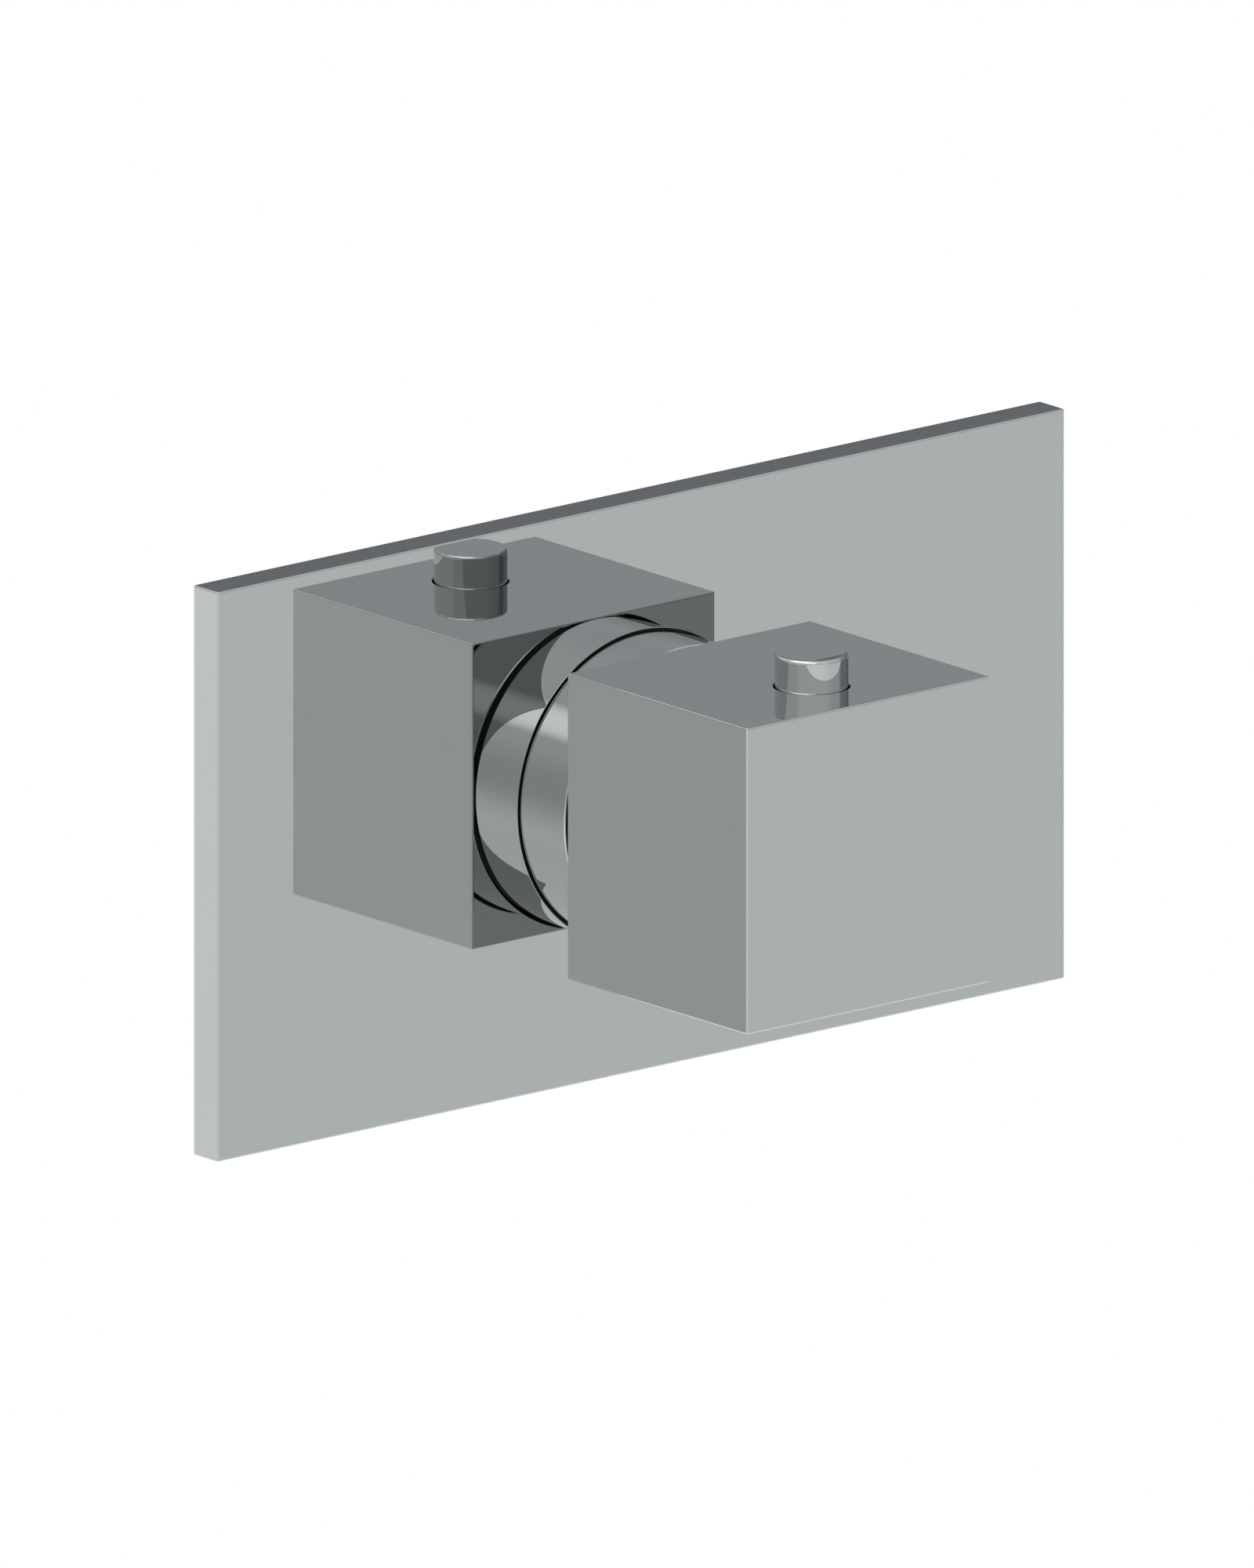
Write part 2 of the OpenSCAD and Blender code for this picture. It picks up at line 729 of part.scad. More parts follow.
module cartridge_housing() color(plastic) difference() {
    union() {
        rod(housing_r, seat_y - over, housing_end_y);
        rod(nut_r - snug, flange_y, seat_y);
        rod(neck_r, neck_step_y, flange_y + over);
        rod(neck_tip_r, neck_y, flange_y + over);
        spokes(key_n, neck_y, neck_step_y + over, key_w, neck_tip_r - over, neck_tip_r + key_h);
    }
    rod(journal_r + run, neck_y - over, flange_y + over);
    rod(screw_bore_r, flange_y, cold_seat_y + over);
    rod(shuttle_r + run, cold_seat_y, housing_end_y);
    rod(end_bore_r, hot_seat_y, housing_end_y + over);
    for (side = [-1, 1])
        translate([side < 0 ? -keyway_r : 0, seat_y, -carriage_key_w / 2 - pass])
            cube([keyway_r, cold_seat_y + over - seat_y, carriage_key_w + 2 * pass]);
    for (y = packing_ys)
        tube(housing_r + over, housing_r - packing_deep, y - packing_w / 2, y + packing_w / 2);
    for (y = [cold_y, hot_y])
        tube(housing_r + over, screen_r - screen_t - snug, y - screen_w / 2 - snug, y + screen_w / 2 + snug);
    spokes(window_n, cold_seat_y, cold_seat_y + window_w, window_t, shuttle_r - over, housing_r + over);
    spokes(window_n, hot_seat_y - window_w, hot_seat_y, window_t, shuttle_r - over, housing_r + over);
}

module cartridge_o_rings() color(rubber) for (y = packing_ys)
    o_ring(housing_r - packing_deep + packing_r + snug, packing_r, y);

module screen(y) color(steel) difference() {
    tube(screen_r, screen_r - screen_t, y - screen_w / 2, y + screen_w / 2);
    spokes(screen_n, y - screen_w / 2 + screen_rim, y + screen_w / 2 - screen_rim, screen_slot_w,
        screen_r - screen_t - over, screen_r + over);
}

module cold_screen() screen(cold_y);

module hot_screen() screen(hot_y);

module regulating_screw() color(brass) {
    difference() {
        union() {
            rod(carriage_r, carriage_y, carriage_end_y);
            for (side = [-1, 1])
                translate([side < 0 ? -carriage_r - carriage_key_h : carriage_r - over,
                    carriage_y, -carriage_key_w / 2])
                    cube([carriage_key_h + over, carriage_end_y - carriage_y, carriage_key_w]);
        }
        rod(carriage_in_r, carriage_y + carriage_front_t, carriage_end_y + over);
        tube(carriage_in_r + overload_clip_deep, carriage_in_r - over, seat_disc_y + seat_disc_t + pass,
            seat_disc_y + seat_disc_t + pass + overload_clip_t + pass);
    }
    rod(carriage_stem_r, carriage_y - carriage_stem, carriage_y + over);
}

module overload_spring() color(steel) into_wall(carriage_y + carriage_front_t + snug)
    coil(overload_r, overload_wire, seat_disc_y - carriage_y - carriage_front_t - 2 * snug, overload_turns);

module piston_seat() color(steel) difference() {
    rod(seat_disc_r, seat_disc_y, seat_disc_y + seat_disc_t);
    rod(piston_r + snug, seat_disc_y + seat_disc_t - piston_in, carriage_end_y);
}

module overload_clip() color(steel) difference() {
    tube(carriage_in_r + overload_clip_deep - snug, overload_clip_in, seat_disc_y + seat_disc_t + pass + snug,
        seat_disc_y + seat_disc_t + pass + snug + overload_clip_t);
    translate([-clip_gap / 2, 0, 0]) cube([clip_gap, carriage_end_y, carriage_r]);
}

module wax_piston() color(steel)
    rod(piston_r, seat_disc_y + seat_disc_t - piston_in + snug, seat_disc_y + seat_disc_t + piston_w);

module wax_element() color(copper) difference() {
    union() {
        rod(wax_guide_r, wax_guide_y, wax_flange_y + over);
        rod(wax_flange_r, wax_flange_y, shuttle_hub_y - snug);
        rod(wax_r, wax_flange_y, wax_bulb_y);
        rod(wax_bulb_r, wax_bulb_y - over, wax_bulb_y + wax_bulb_w - wax_bulb_r);
        into_wall(wax_bulb_y + wax_bulb_w - wax_bulb_r) sphere(r = wax_bulb_r);
    }
    rod(piston_r + run, wax_guide_y - over, wax_guide_y + wax_bore_w);
}

module shuttle() color(plastic) {
    difference() {
        tube(shuttle_r, shuttle_r - shuttle_wall, shuttle_y, shuttle_end_y);
        tube(shuttle_r + over, shuttle_r - shuttle_ring_deep, inlet_y - shuttle_ring_r - snug,
            inlet_y + shuttle_ring_r + snug);
    }
    tube(wax_r + snug + hub_wall, wax_r + snug, shuttle_hub_y, shuttle_hub_end_y);
    spokes(spoke_n, shuttle_hub_y + spoke_in, shuttle_hub_end_y, spoke_w, wax_r + hub_wall / 2,
        shuttle_r - shuttle_wall / 2 - shuttle_ring_deep / 2);
}

module shuttle_o_ring() color(rubber)
    o_ring(shuttle_r - shuttle_ring_deep + shuttle_ring_r + snug / 2, shuttle_ring_r - snug / 2, inlet_y);

module return_spring() color(steel) into_wall(shuttle_hub_end_y + snug)
    coil(return_r, return_wire, housing_end_y - shuttle_hub_end_y - 2 * snug, return_turns);

module cartridge_end() color(brass) {
    tube(end_bore_r - snug, end_bore_r - end_wall, hot_seat_y, housing_end_y + end_flange_w);
    tube(end_flange_r, end_bore_r - over, housing_end_y, housing_end_y + end_flange_w);
    tube(end_hub_r, end_hub_in, housing_end_y, housing_end_y + end_flange_w);
    spokes(end_arm_n, housing_end_y, housing_end_y + end_flange_w, end_arm_w, end_hub_in + over,
        end_bore_r - over);
}

module valve_body() color(brass) difference() {
    union() {
        rod(nose_r, nose_y, nose_step + over);
        rotate([0, 90, 0]) rod(barrel_r, nose_step, barrel_end_y - lug_t);
        rod(barrel_r + flange_up, barrel_end_y - lug_t, barrel_end_y);
        for (side = [hot_side, cold_side]) {
            along_inlet(side) {
                cylinder(r = boss_r, h = inlet_reach);
                translate([0, 0, inlet_reach - wrench_w])
                    cylinder(r = wrench_af / 2 / cos(30), h = wrench_w, $fn = 6);
            }
            translate([side * stop_x, 0, 0]) rod(stop_boss_r, stop_out, stop_end_y + stop_boss_end);
            for (up = [-1, 1]) translate([0, barrel_end_y - lug_t, 0])
                rotate([0, up * lug_turn + (side < 0 ? 180 : 0), 0]) {
                    translate([0, 0, -lug_r]) cube([lug_reach, lug_t, 2 * lug_r]);
                    translate([lug_reach, 0, 0]) rod(lug_r, 0, lug_t);
                }
        }
        translate([0, outlet_y, -outlet_reach]) {
            cylinder(r = boss_r, h = outlet_reach);
            cylinder(r = wrench_af / 2 / cos(30), h = wrench_w, $fn = 6);
        }
        translate([0, mix_y, 0]) cylinder(r = plug_boss_r, h = plug_boss_z);
    }
    rod(nut_r, nose_y - over, seat_y);
    rod(bore_r, seat_y - over, bore_end_y);
    for (y = [cold_y, hot_y]) rod(chamber_r, y - chamber_w / 2, y + chamber_w / 2);
    tube(nose_r + over, nose_r - groove_deep, groove_y - groove_w / 2, groove_y + groove_w / 2);
    for (side = [hot_side, cold_side]) {
        port_y = side == hot_side ? hot_y : cold_y;
        along_inlet(side) {
            translate([0, 0, check_end_x + filter_t]) cylinder(r = thread_r, h = inlet_reach);
            translate([0, 0, check_end_x]) cylinder(r = filter_r, h = inlet_reach);
            translate([0, 0, check_x]) cylinder(r = check_r, h = inlet_reach);
            translate([0, 0, stop_x]) cylinder(r = check_port_r, h = inlet_reach);
        }
        translate([0, port_y, 0]) rotate([0, side * 90, 0]) cylinder(r = stop_exit_r, h = stop_x);
        translate([side * stop_x, 0, 0]) {
            rod(stop_r, stop_out - over, stop_end_y + free);
            rod(gland_r + snug, stop_out - over, stop_out + gland_w + snug);
            rod(gland_head_r + pass, stop_out - gland_head_w - pass, stop_out);
        }
    }
    for (side = [-1, 1], up = [-1, 1]) translate([side * fix_w / 2, 0, up * fix_h / 2])
        rod(fix_d / 2, barrel_end_y - lug_t - over, barrel_end_y + over);
    translate([0, outlet_y, -outlet_reach - over]) cylinder(r = thread_r, h = outlet_thread + over);
    translate([0, mix_y, outlet_thread - outlet_reach - over])
        cylinder(r = mix_port_r, h = outlet_reach - outlet_thread + over);
    translate([0, mix_y, 0]) cylinder(r = plug_r, h = outlet_reach);
}

module blanking_plug() color(brass) translate([0, mix_y, plug_boss_z]) difference() {
    union() {
        translate([0, 0, -plug_in]) cylinder(r = plug_r - snug, h = plug_in + washer_t + over);
        translate([0, 0, washer_t]) cylinder(r = plug_head_r, h = plug_head_h);
    }
    translate([0, 0, washer_t + plug_head_h - plug_hex_deep])
        cylinder(r = plug_hex_r, h = plug_hex_deep + over, $fn = 6);
}

module plug_washer() color(rubber) translate([0, mix_y, plug_boss_z]) difference() {
    cylinder(r = plug_head_r, h = washer_t);
    translate([0, 0, -over]) cylinder(r = plug_r, h = washer_t + 2 * over);
}

// Service stop: a hollow plug that turns a quarter, with a slot for a screwdriver
module stop_plug(side, port_y) color(brass) translate([side * stop_x, 0, 0]) difference() {
    union() {
        rod(stop_r - run, stop_front_y, stop_end_y);
        rod(stop_stem_r, stop_out - stop_stem_out, stop_front_y + over);
    }
    rod(stop_bore_r, min(cold_y, port_y) - stop_bore_r / 2, stop_end_y - stop_floor / 2);
    translate([0, inlet_y, 0]) rotate([0, side * 90, 0]) cylinder(r = stop_bore_r, h = stop_x);
    translate([0, port_y, 0]) rotate([0, -side * 90, 0]) cylinder(r = stop_exit_r, h = stop_x);
    translate([-stop_x, 0, -stop_slot_w / 2])
        cube([2 * stop_x, stop_out - stop_stem_out + stop_slot_deep, stop_slot_w]);
}

module hot_stop() stop_plug(hot_side, hot_y);

module cold_stop() stop_plug(cold_side, cold_y);

module stop_glands() color(brass) both_stops() difference() {
    union() {
        rod(gland_r, stop_out - over, stop_out + gland_w);
        into_wall(stop_out - gland_head_w) cylinder(r = gland_head_r, h = gland_head_w, $fn = 6);
    }
    rod(stop_stem_r + run, 0, inlet_y);
}

module stop_o_rings() color(rubber) both_stops()
    o_ring((stop_r + stop_stem_r) / 2, stop_ring_r, stop_front_y - stop_ring_r - snug);

// Cage of a non-return valve: the seat ring outwards and a guide hub inwards
module check_body(side) color(plastic) along_inlet(side) difference() {
    translate([0, 0, check_x + snug]) cylinder(r = check_r - snug, h = check_w - 2 * snug);
    difference() {
        translate([0, 0, check_x - over])
            cylinder(r = check_in_r, h = check_w + over - check_seat_w);
        translate([0, 0, check_x]) {
            cylinder(r = check_hub_r, h = check_hub_w);
            for (i = [0 : check_arm_n - 1]) rotate([0, 0, i * 360 / check_arm_n])
                translate([0, -check_arm_w / 2, 0]) cube([check_r, check_arm_w, check_hub_w]);
        }
    }
    translate([0, 0, check_x]) cylinder(r = poppet_stem_r + run, h = check_w);
    translate([0, 0, check_end_x - check_seat_w - over]) cylinder(r = check_seat_r, h = check_w);
    translate([0, 0, check_x + check_ring_back - check_ring_r - snug]) difference() {
        cylinder(r = check_r + over, h = 2 * (check_ring_r + snug));
        translate([0, 0, -over])
            cylinder(r = check_r - check_ring_deep, h = 2 * (check_ring_r + snug + over));
    }
}

module hot_check_body() check_body(hot_side);

module cold_check_body() check_body(cold_side);

module check_o_rings() color(rubber) for (side = [hot_side, cold_side]) along_inlet(side)
    translate([0, 0, check_x + check_ring_back]) rotate_extrude()
        translate([check_r - check_ring_deep + check_ring_r, 0]) circle(r = check_ring_r - snug / 2);

// Moving disc of a non-return valve, closed against its seat at rest
module poppet(side) color(black) along_inlet(side) {
    translate([0, 0, poppet_x - poppet_t]) cylinder(r = poppet_r, h = poppet_t);
    translate([0, 0, check_x + poppet_stem_in])
        cylinder(r = poppet_stem_r, h = poppet_x - poppet_t / 2 - check_x - poppet_stem_in);
}

module hot_poppet() poppet(hot_side);

module cold_poppet() poppet(cold_side);

module check_spring(side) color(steel) along_inlet(side) translate([0, 0, check_x + check_hub_w + snug])
    coil(check_spring_r, check_wire, poppet_x - poppet_t - check_x - check_hub_w - 2 * snug, check_turns);

module hot_check_spring() check_spring(hot_side);

module cold_check_spring() check_spring(cold_side);

// Strainer disc: a rim with a flat mesh of bars
module filter(side) color(steel) along_inlet(side) translate([0, 0, check_end_x + snug]) {
    difference() {
        cylinder(r = filter_r - snug, h = filter_t - 2 * snug);
        translate([0, 0, -over]) cylinder(r = filter_r - filter_in, h = filter_t + 2 * over);
    }
    intersection() {
        cylinder(r = filter_r - filter_in / 2, h = mesh_t);
        union() for (i = [-mesh_n : mesh_n]) {
            translate([i * mesh_step - mesh_w / 2, -filter_r, 0]) cube([mesh_w, 2 * filter_r, mesh_t]);
            translate([-filter_r, i * mesh_step - mesh_w / 2, 0]) cube([2 * filter_r, mesh_w, mesh_t]);
        }
    }
}

module hot_filter() filter(hot_side);

module cold_filter() filter(cold_side);

wall_plate();
plate_gasket();
plate_seal();
collar();
collar_o_ring();
glide_ring();
knob();
knob_insert();
knob_screw();
button();
stop_catch();
button_spring();
stop_ring();
spindle();
spindle_o_rings();
spindle_clip();
cartridge_nut();
cartridge_housing();
cartridge_o_rings();
cold_screen();
hot_screen();
regulating_screw();
overload_spring();
piston_seat();
overload_clip();
wax_piston();
wax_element();
shuttle();
shuttle_o_ring();
return_spring();
cartridge_end();
valve_body();
blanking_plug();
plug_washer();
hot_stop();
cold_stop();
stop_glands();
stop_o_rings();
hot_check_body();
cold_check_body();
check_o_rings();
hot_poppet();
cold_poppet();
hot_check_spring();
cold_check_spring();
hot_filter();
cold_filter();
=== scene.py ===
import math

import bmesh
import bpy
from mathutils import Matrix, Vector


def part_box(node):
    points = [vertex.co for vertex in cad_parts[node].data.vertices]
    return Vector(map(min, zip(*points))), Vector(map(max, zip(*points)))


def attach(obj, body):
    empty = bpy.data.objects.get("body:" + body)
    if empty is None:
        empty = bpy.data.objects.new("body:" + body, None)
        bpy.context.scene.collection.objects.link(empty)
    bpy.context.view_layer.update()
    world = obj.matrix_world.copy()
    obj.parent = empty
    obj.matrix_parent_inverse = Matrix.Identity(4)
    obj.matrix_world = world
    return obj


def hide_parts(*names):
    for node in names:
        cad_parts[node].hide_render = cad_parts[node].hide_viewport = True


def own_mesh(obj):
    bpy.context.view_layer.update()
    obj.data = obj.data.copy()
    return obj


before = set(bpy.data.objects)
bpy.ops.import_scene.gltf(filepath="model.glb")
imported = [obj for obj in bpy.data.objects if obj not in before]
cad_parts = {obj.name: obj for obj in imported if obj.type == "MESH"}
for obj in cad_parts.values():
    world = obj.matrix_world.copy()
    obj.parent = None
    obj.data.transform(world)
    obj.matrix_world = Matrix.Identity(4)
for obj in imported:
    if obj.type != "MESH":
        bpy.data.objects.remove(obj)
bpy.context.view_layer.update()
mm = 0.001
past = 1 * mm             # how far a cutting tool runs past a face
pickReach = 0.01 * mm     # how far off its plane an edge may lie and still be picked
weldReach = 0.001 * mm    # corners closer than this become one
squareOn = 0.99           # a normal this far along an axis belongs to a face square to it
blotchDetail = 3
axisIndex = {"X": 0, "Y": 1, "Z": 2}
axisTurn = {"X": (0, math.pi / 2, 0), "Y": (-math.pi / 2, 0, 0), "Z": (0, 0, 0)}     # turns Z to the axis
mixFirst, mixSecond, mixResult = 6, 7, 2     # colour sockets of a Mix node


# view

viewSetup = {
    "turn": 40.0,            # degrees to the left of the plate's normal
    "tilt": 15.0,            # degrees above the horizon
    "distance": 1.5,
    "longSide": 0.2127,      # metres shown along the picture's long side
    "plateFront": -5 * mm,
    "shiftRight": -1.92 * mm,
    "shiftUp": 0.2 * mm,
}


def placeCamera(setup):
    turn = math.radians(setup["turn"])
    tilt = math.radians(setup["tilt"])
    away = Vector((-math.sin(turn) * math.cos(tilt), -math.cos(turn) * math.cos(tilt), math.sin(tilt)))
    right = Vector((math.cos(turn), -math.sin(turn), 0))
    up = away.cross(right)
    aim = Vector((0, setup["plateFront"], 0)) + right * setup["shiftRight"] + up * setup["shiftUp"]
    cameraData = bpy.data.cameras.new("productCamera")
    cameraData.type = "ORTHO"
    cameraData.ortho_scale = setup["longSide"]
    camera = bpy.data.objects.new("productCamera", cameraData)
    bpy.context.scene.collection.objects.link(camera)
    axes = Matrix((right, up, away)).transposed().to_4x4()
    camera.matrix_world = Matrix.Translation(aim + away * setup["distance"]) @ axes
    bpy.context.scene.camera = camera


# studio: what the chrome mirrors, a pale ground, a horizon and a sky with soft boxes in it

studioSetup = {
    "horizonLeft": (0.630, 0.650, 0.645),
    "horizonRight": (0.475, 0.500, 0.490),
    "groundLeft": (1.000, 1.045, 1.020),
    "groundRight": (0.853, 0.900, 0.870),
    "skyLeft": (0.800, 0.820, 0.830),
    "skyRight": (0.660, 0.700, 0.735),
    "groundDepth": (-0.03, -0.40),     # where the ground starts and is full, as a sine
    "skyHeight": (0.06, 0.38),
    "groundSides": (-0.50, 0.35),      # from the right tone to the left one
    "skySides": (-0.55, -0.05),
    "mirrorDepth": 12,                 # bounces that are always followed, so mirrors in mirrors stay clean
    "lobes": [   # soft boxes: direction, inner and outer cosine, light added there, or taken away below 0
        ((-0.441, -0.740, 0.508), 1.0, 0.985, (0.87, 0.87, 0.87)),
        ((-0.40, -0.35, 0.85), 0.990, 0.94, (1.30, 1.30, 1.30)),
        ((-0.38, 0.16, 0.91), 0.975, 0.91, (1.80, 1.80, 1.80)),
        ((0.62, 0.72, 0.33), 0.97, 0.72, (-0.412, -0.437, -0.443)),
        ((-0.62, 0.74, -0.26), 0.97, 0.80, (0.05, 0.05, 0.05)),
        ((0.98, -0.10, 0.20), 0.97, 0.85, (-0.33, -0.33, -0.33)),
        ((-0.88, 0.40, 0.26), 0.96, 0.80, (-0.12, -0.12, -0.11)),
    ],
}


def worldMath(tree, operation, a, b):
    node = tree.nodes.new("ShaderNodeVectorMath")
    node.operation = operation
    for socket, value in zip(node.inputs, (a, b)):
        if isinstance(value, bpy.types.NodeSocket):
            tree.links.new(value, socket)
        else:
            socket.default_value = value
    return node.outputs["Value" if operation == "DOT_PRODUCT" else "Vector"]


def worldRange(tree, value, low, high):
    node = tree.nodes.new("ShaderNodeMapRange")
    node.interpolation_type = "SMOOTHSTEP"
    tree.links.new(value, node.inputs["Value"])
    node.inputs["From Min"].default_value = low
    node.inputs["From Max"].default_value = high
    return node.outputs["Result"]


def worldMix(tree, factor, a, b):
    node = tree.nodes.new("ShaderNodeMix")
    node.data_type = "RGBA"
    tree.links.new(factor, node.inputs["Factor"])
    for socket, value in zip((node.inputs[mixFirst], node.inputs[mixSecond]), (a, b)):
        if isinstance(value, bpy.types.NodeSocket):
            tree.links.new(value, socket)
        else:
            socket.default_value = (*value, 1)
    return node.outputs[mixResult]


def buildStudio(setup):
    world = bpy.data.worlds.new("studio")
    bpy.context.scene.world = world
    world.use_nodes = True
    tree = world.node_tree
    tree.nodes.clear()
    direction = tree.nodes.new("ShaderNodeTexCoord").outputs["Generated"]
    towardsLeft = worldMath(tree, "DOT_PRODUCT", direction, (-1, 0, 0))
    upwards = worldMath(tree, "DOT_PRODUCT", direction, (0, 0, 1))
    groundSide = worldRange(tree, towardsLeft, *setup["groundSides"])
    skySide = worldRange(tree, towardsLeft, *setup["skySides"])
    ground = worldMix(tree, groundSide, setup["groundRight"], setup["groundLeft"])
    sky = worldMix(tree, skySide, setup["skyRight"], setup["skyLeft"])
    horizon = worldMix(tree, skySide, setup["horizonRight"], setup["horizonLeft"])
    above = worldMix(tree, worldRange(tree, upwards, *setup["skyHeight"]), horizon, sky)
    glow = worldMix(tree, worldRange(tree, upwards, *setup["groundDepth"]), above, ground)
    for axis, inner, outer, colour in setup["lobes"]:
        towards = worldMath(tree, "DOT_PRODUCT", direction, Vector(axis).normalized())
        amount = worldRange(tree, towards, outer, inner)
        scaled = tree.nodes.new("ShaderNodeVectorMath")
        scaled.operation = "SCALE"
        scaled.inputs[0].default_value = colour
        tree.links.new(amount, scaled.inputs["Scale"])
        glow = worldMath(tree, "ADD", glow, scaled.outputs["Vector"])
    glow = worldMath(tree, "MAXIMUM", glow, (0, 0, 0))
    lightPath = tree.nodes.new("ShaderNodeLightPath")
    seen = worldMix(tree, lightPath.outputs["Is Camera Ray"], glow, (1, 1, 1))
    background = tree.nodes.new("ShaderNodeBackground")
    tree.links.new(seen, background.inputs["Color"])
    output = tree.nodes.new("ShaderNodeOutputWorld")
    tree.links.new(background.outputs["Background"], output.inputs["Surface"])
    bpy.context.scene.view_settings.view_transform = "Standard"
    bpy.context.scene.cycles.min_light_bounces = setup["mirrorDepth"]


floorSetup = {
    "height": -0.5,
    "radius": 1.0,
    "sides": 96,
    "tone": 0.5,
    "fill": 0.52,        # glow that the camera and the chrome see, and that doesn't light the object
    "whiten": 0.2,       # more of it for the camera alone
}


def layFloor(setup):
    clearSelection()
    bpy.ops.mesh.primitive_circle_add(vertices=setup["sides"], radius=setup["radius"], fill_type="NGON",
                                      location=(0, 0, setup["height"]))
    floor = applied("studioFloor")
    material = bpy.data.materials.new("paleFloor")
    material.use_nodes = True
    nodes = material.node_tree.nodes
    links = material.node_tree.links
    nodes.clear()
    diffuse = nodes.new("ShaderNodeBsdfDiffuse")
    diffuse.inputs["Color"].default_value = (setup["tone"],) * 3 + (1,)
    emission = nodes.new("ShaderNodeEmission")
    lightPath = nodes.new("ShaderNodeLightPath")
    strength = nodes.new("ShaderNodeMath")
    strength.operation = "MULTIPLY_ADD"
    strength.inputs[1].default_value = setup["whiten"]
    strength.inputs[2].default_value = setup["fill"]
    links.new(lightPath.outputs["Is Camera Ray"], strength.inputs[0])
    links.new(strength.outputs["Value"], emission.inputs["Strength"])
    gate = lightPath.outputs["Is Camera Ray"]
    for name in ("Is Glossy Ray", "Is Transmission Ray"):
        either = nodes.new("ShaderNodeMath")
        either.operation = "MAXIMUM"
        links.new(gate, either.inputs[0])
        links.new(lightPath.outputs[name], either.inputs[1])
        gate = either.outputs["Value"]
    both = nodes.new("ShaderNodeAddShader")
    links.new(diffuse.outputs["BSDF"], both.inputs[0])
    links.new(emission.outputs["Emission"], both.inputs[1])
    mix = nodes.new("ShaderNodeMixShader")
    links.new(gate, mix.inputs["Fac"])
    links.new(diffuse.outputs["BSDF"], mix.inputs[1])
    links.new(both.outputs["Shader"], mix.inputs[2])
    output = nodes.new("ShaderNodeOutputMaterial")
    links.new(mix.outputs["Shader"], output.inputs["Surface"])
    floor.data.materials.append(material)


# finishes: blotches mix the low and the high colour, gloss is the roughness from one to the other

finishes = {
    "chrome": {"metal": 1.0, "low": (0.528, 0.546, 0.528), "high": (0.560, 0.562, 0.576), "blotch": 26,
               "gloss": (0.002, 0.008), "grain": 18, "bump": 0.004, "rise": 0.02},
    "castBrass": {"metal": 1.0, "low": (0.50, 0.345, 0.15), "high": (0.68, 0.49, 0.24), "blotch": 90,
                  "gloss": (0.38, 0.58), "grain": 1500, "bump": 0.35, "rise": 0.08},
    "turnedBrass": {"metal": 1.0, "low": (0.64, 0.46, 0.21), "high": (0.78, 0.58, 0.29), "blotch": 160,
                    "gloss": (0.18, 0.34), "grain": 2600, "bump": 0.12, "rise": 0.03},
    "steel": {"metal": 1.0, "low": (0.42, 0.42, 0.43), "high": (0.60, 0.60, 0.61), "blotch": 240,
              "gloss": (0.22, 0.40), "grain": 3200, "bump": 0.10, "rise": 0.02},
    "copper": {"metal": 1.0, "low": (0.62, 0.30, 0.17), "high": (0.80, 0.42, 0.27), "blotch": 200,
               "gloss": (0.24, 0.42), "grain": 2400, "bump": 0.10, "rise": 0.02},
    "blackPlastic": {"metal": 0.0, "low": (0.010, 0.010, 0.011), "high": (0.022, 0.022, 0.024), "blotch": 300,
                     "gloss": (0.42, 0.56), "grain": 5200, "bump": 0.18, "rise": 0.02},
    "whitePlastic": {"metal": 0.0, "low": (0.66, 0.65, 0.60), "high": (0.78, 0.77, 0.73), "blotch": 260,
                     "gloss": (0.34, 0.48), "grain": 4200, "bump": 0.12, "rise": 0.02},
    "sealRubber": {"metal": 0.0, "low": (0.008, 0.008, 0.008), "high": (0.018, 0.018, 0.018), "blotch": 420,
                   "gloss": (0.55, 0.74), "grain": 6000, "bump": 0.22, "rise": 0.02},
    "foam": {"metal": 0.0, "low": (0.030, 0.030, 0.033), "high": (0.085, 0.085, 0.092), "blotch": 1400,
             "gloss": (0.82, 0.95), "grain": 2400, "bump": 0.8, "rise": 0.25},
}


def makeFinish(name, finish):
    material = bpy.data.materials.new(name)
    material.use_nodes = True
    nodes = material.node_tree.nodes
    links = material.node_tree.links
    shader = nodes["Principled BSDF"]
    shader.inputs["Metallic"].default_value = finish["metal"]
    place = nodes.new("ShaderNodeTexCoord").outputs["Object"]
    blotch = nodes.new("ShaderNodeTexNoise")
    blotch.inputs["Scale"].default_value = finish["blotch"]
    blotch.inputs["Detail"].default_value = blotchDetail
    links.new(place, blotch.inputs["Vector"])
    tint = nodes.new("ShaderNodeMix")
    tint.data_type = "RGBA"
    tint.inputs[mixFirst].default_value = (*finish["low"], 1)
    tint.inputs[mixSecond].default_value = (*finish["high"], 1)
    links.new(blotch.outputs["Fac"], tint.inputs["Factor"])
    links.new(tint.outputs[mixResult], shader.inputs["Base Color"])
    grain = nodes.new("ShaderNodeTexVoronoi" if name == "foam" else "ShaderNodeTexNoise")
    grain.inputs["Scale"].default_value = finish["grain"]
    links.new(place, grain.inputs["Vector"])
    texture = grain.outputs["Distance" if name == "foam" else "Fac"]
    gloss = nodes.new("ShaderNodeMapRange")
    gloss.inputs["To Min"].default_value = finish["gloss"][0]
    gloss.inputs["To Max"].default_value = finish["gloss"][1]
    links.new(blotch.outputs["Fac"], gloss.inputs["Value"])
    links.new(gloss.outputs["Result"], shader.inputs["Roughness"])
    bump = nodes.new("ShaderNodeBump")
    bump.inputs["Strength"].default_value = finish["bump"]
    bump.inputs["Distance"].default_value = finish["rise"] * mm
    links.new(texture, bump.inputs["Height"])
    links.new(bump.outputs["Normal"], shader.inputs["Normal"])
    return material


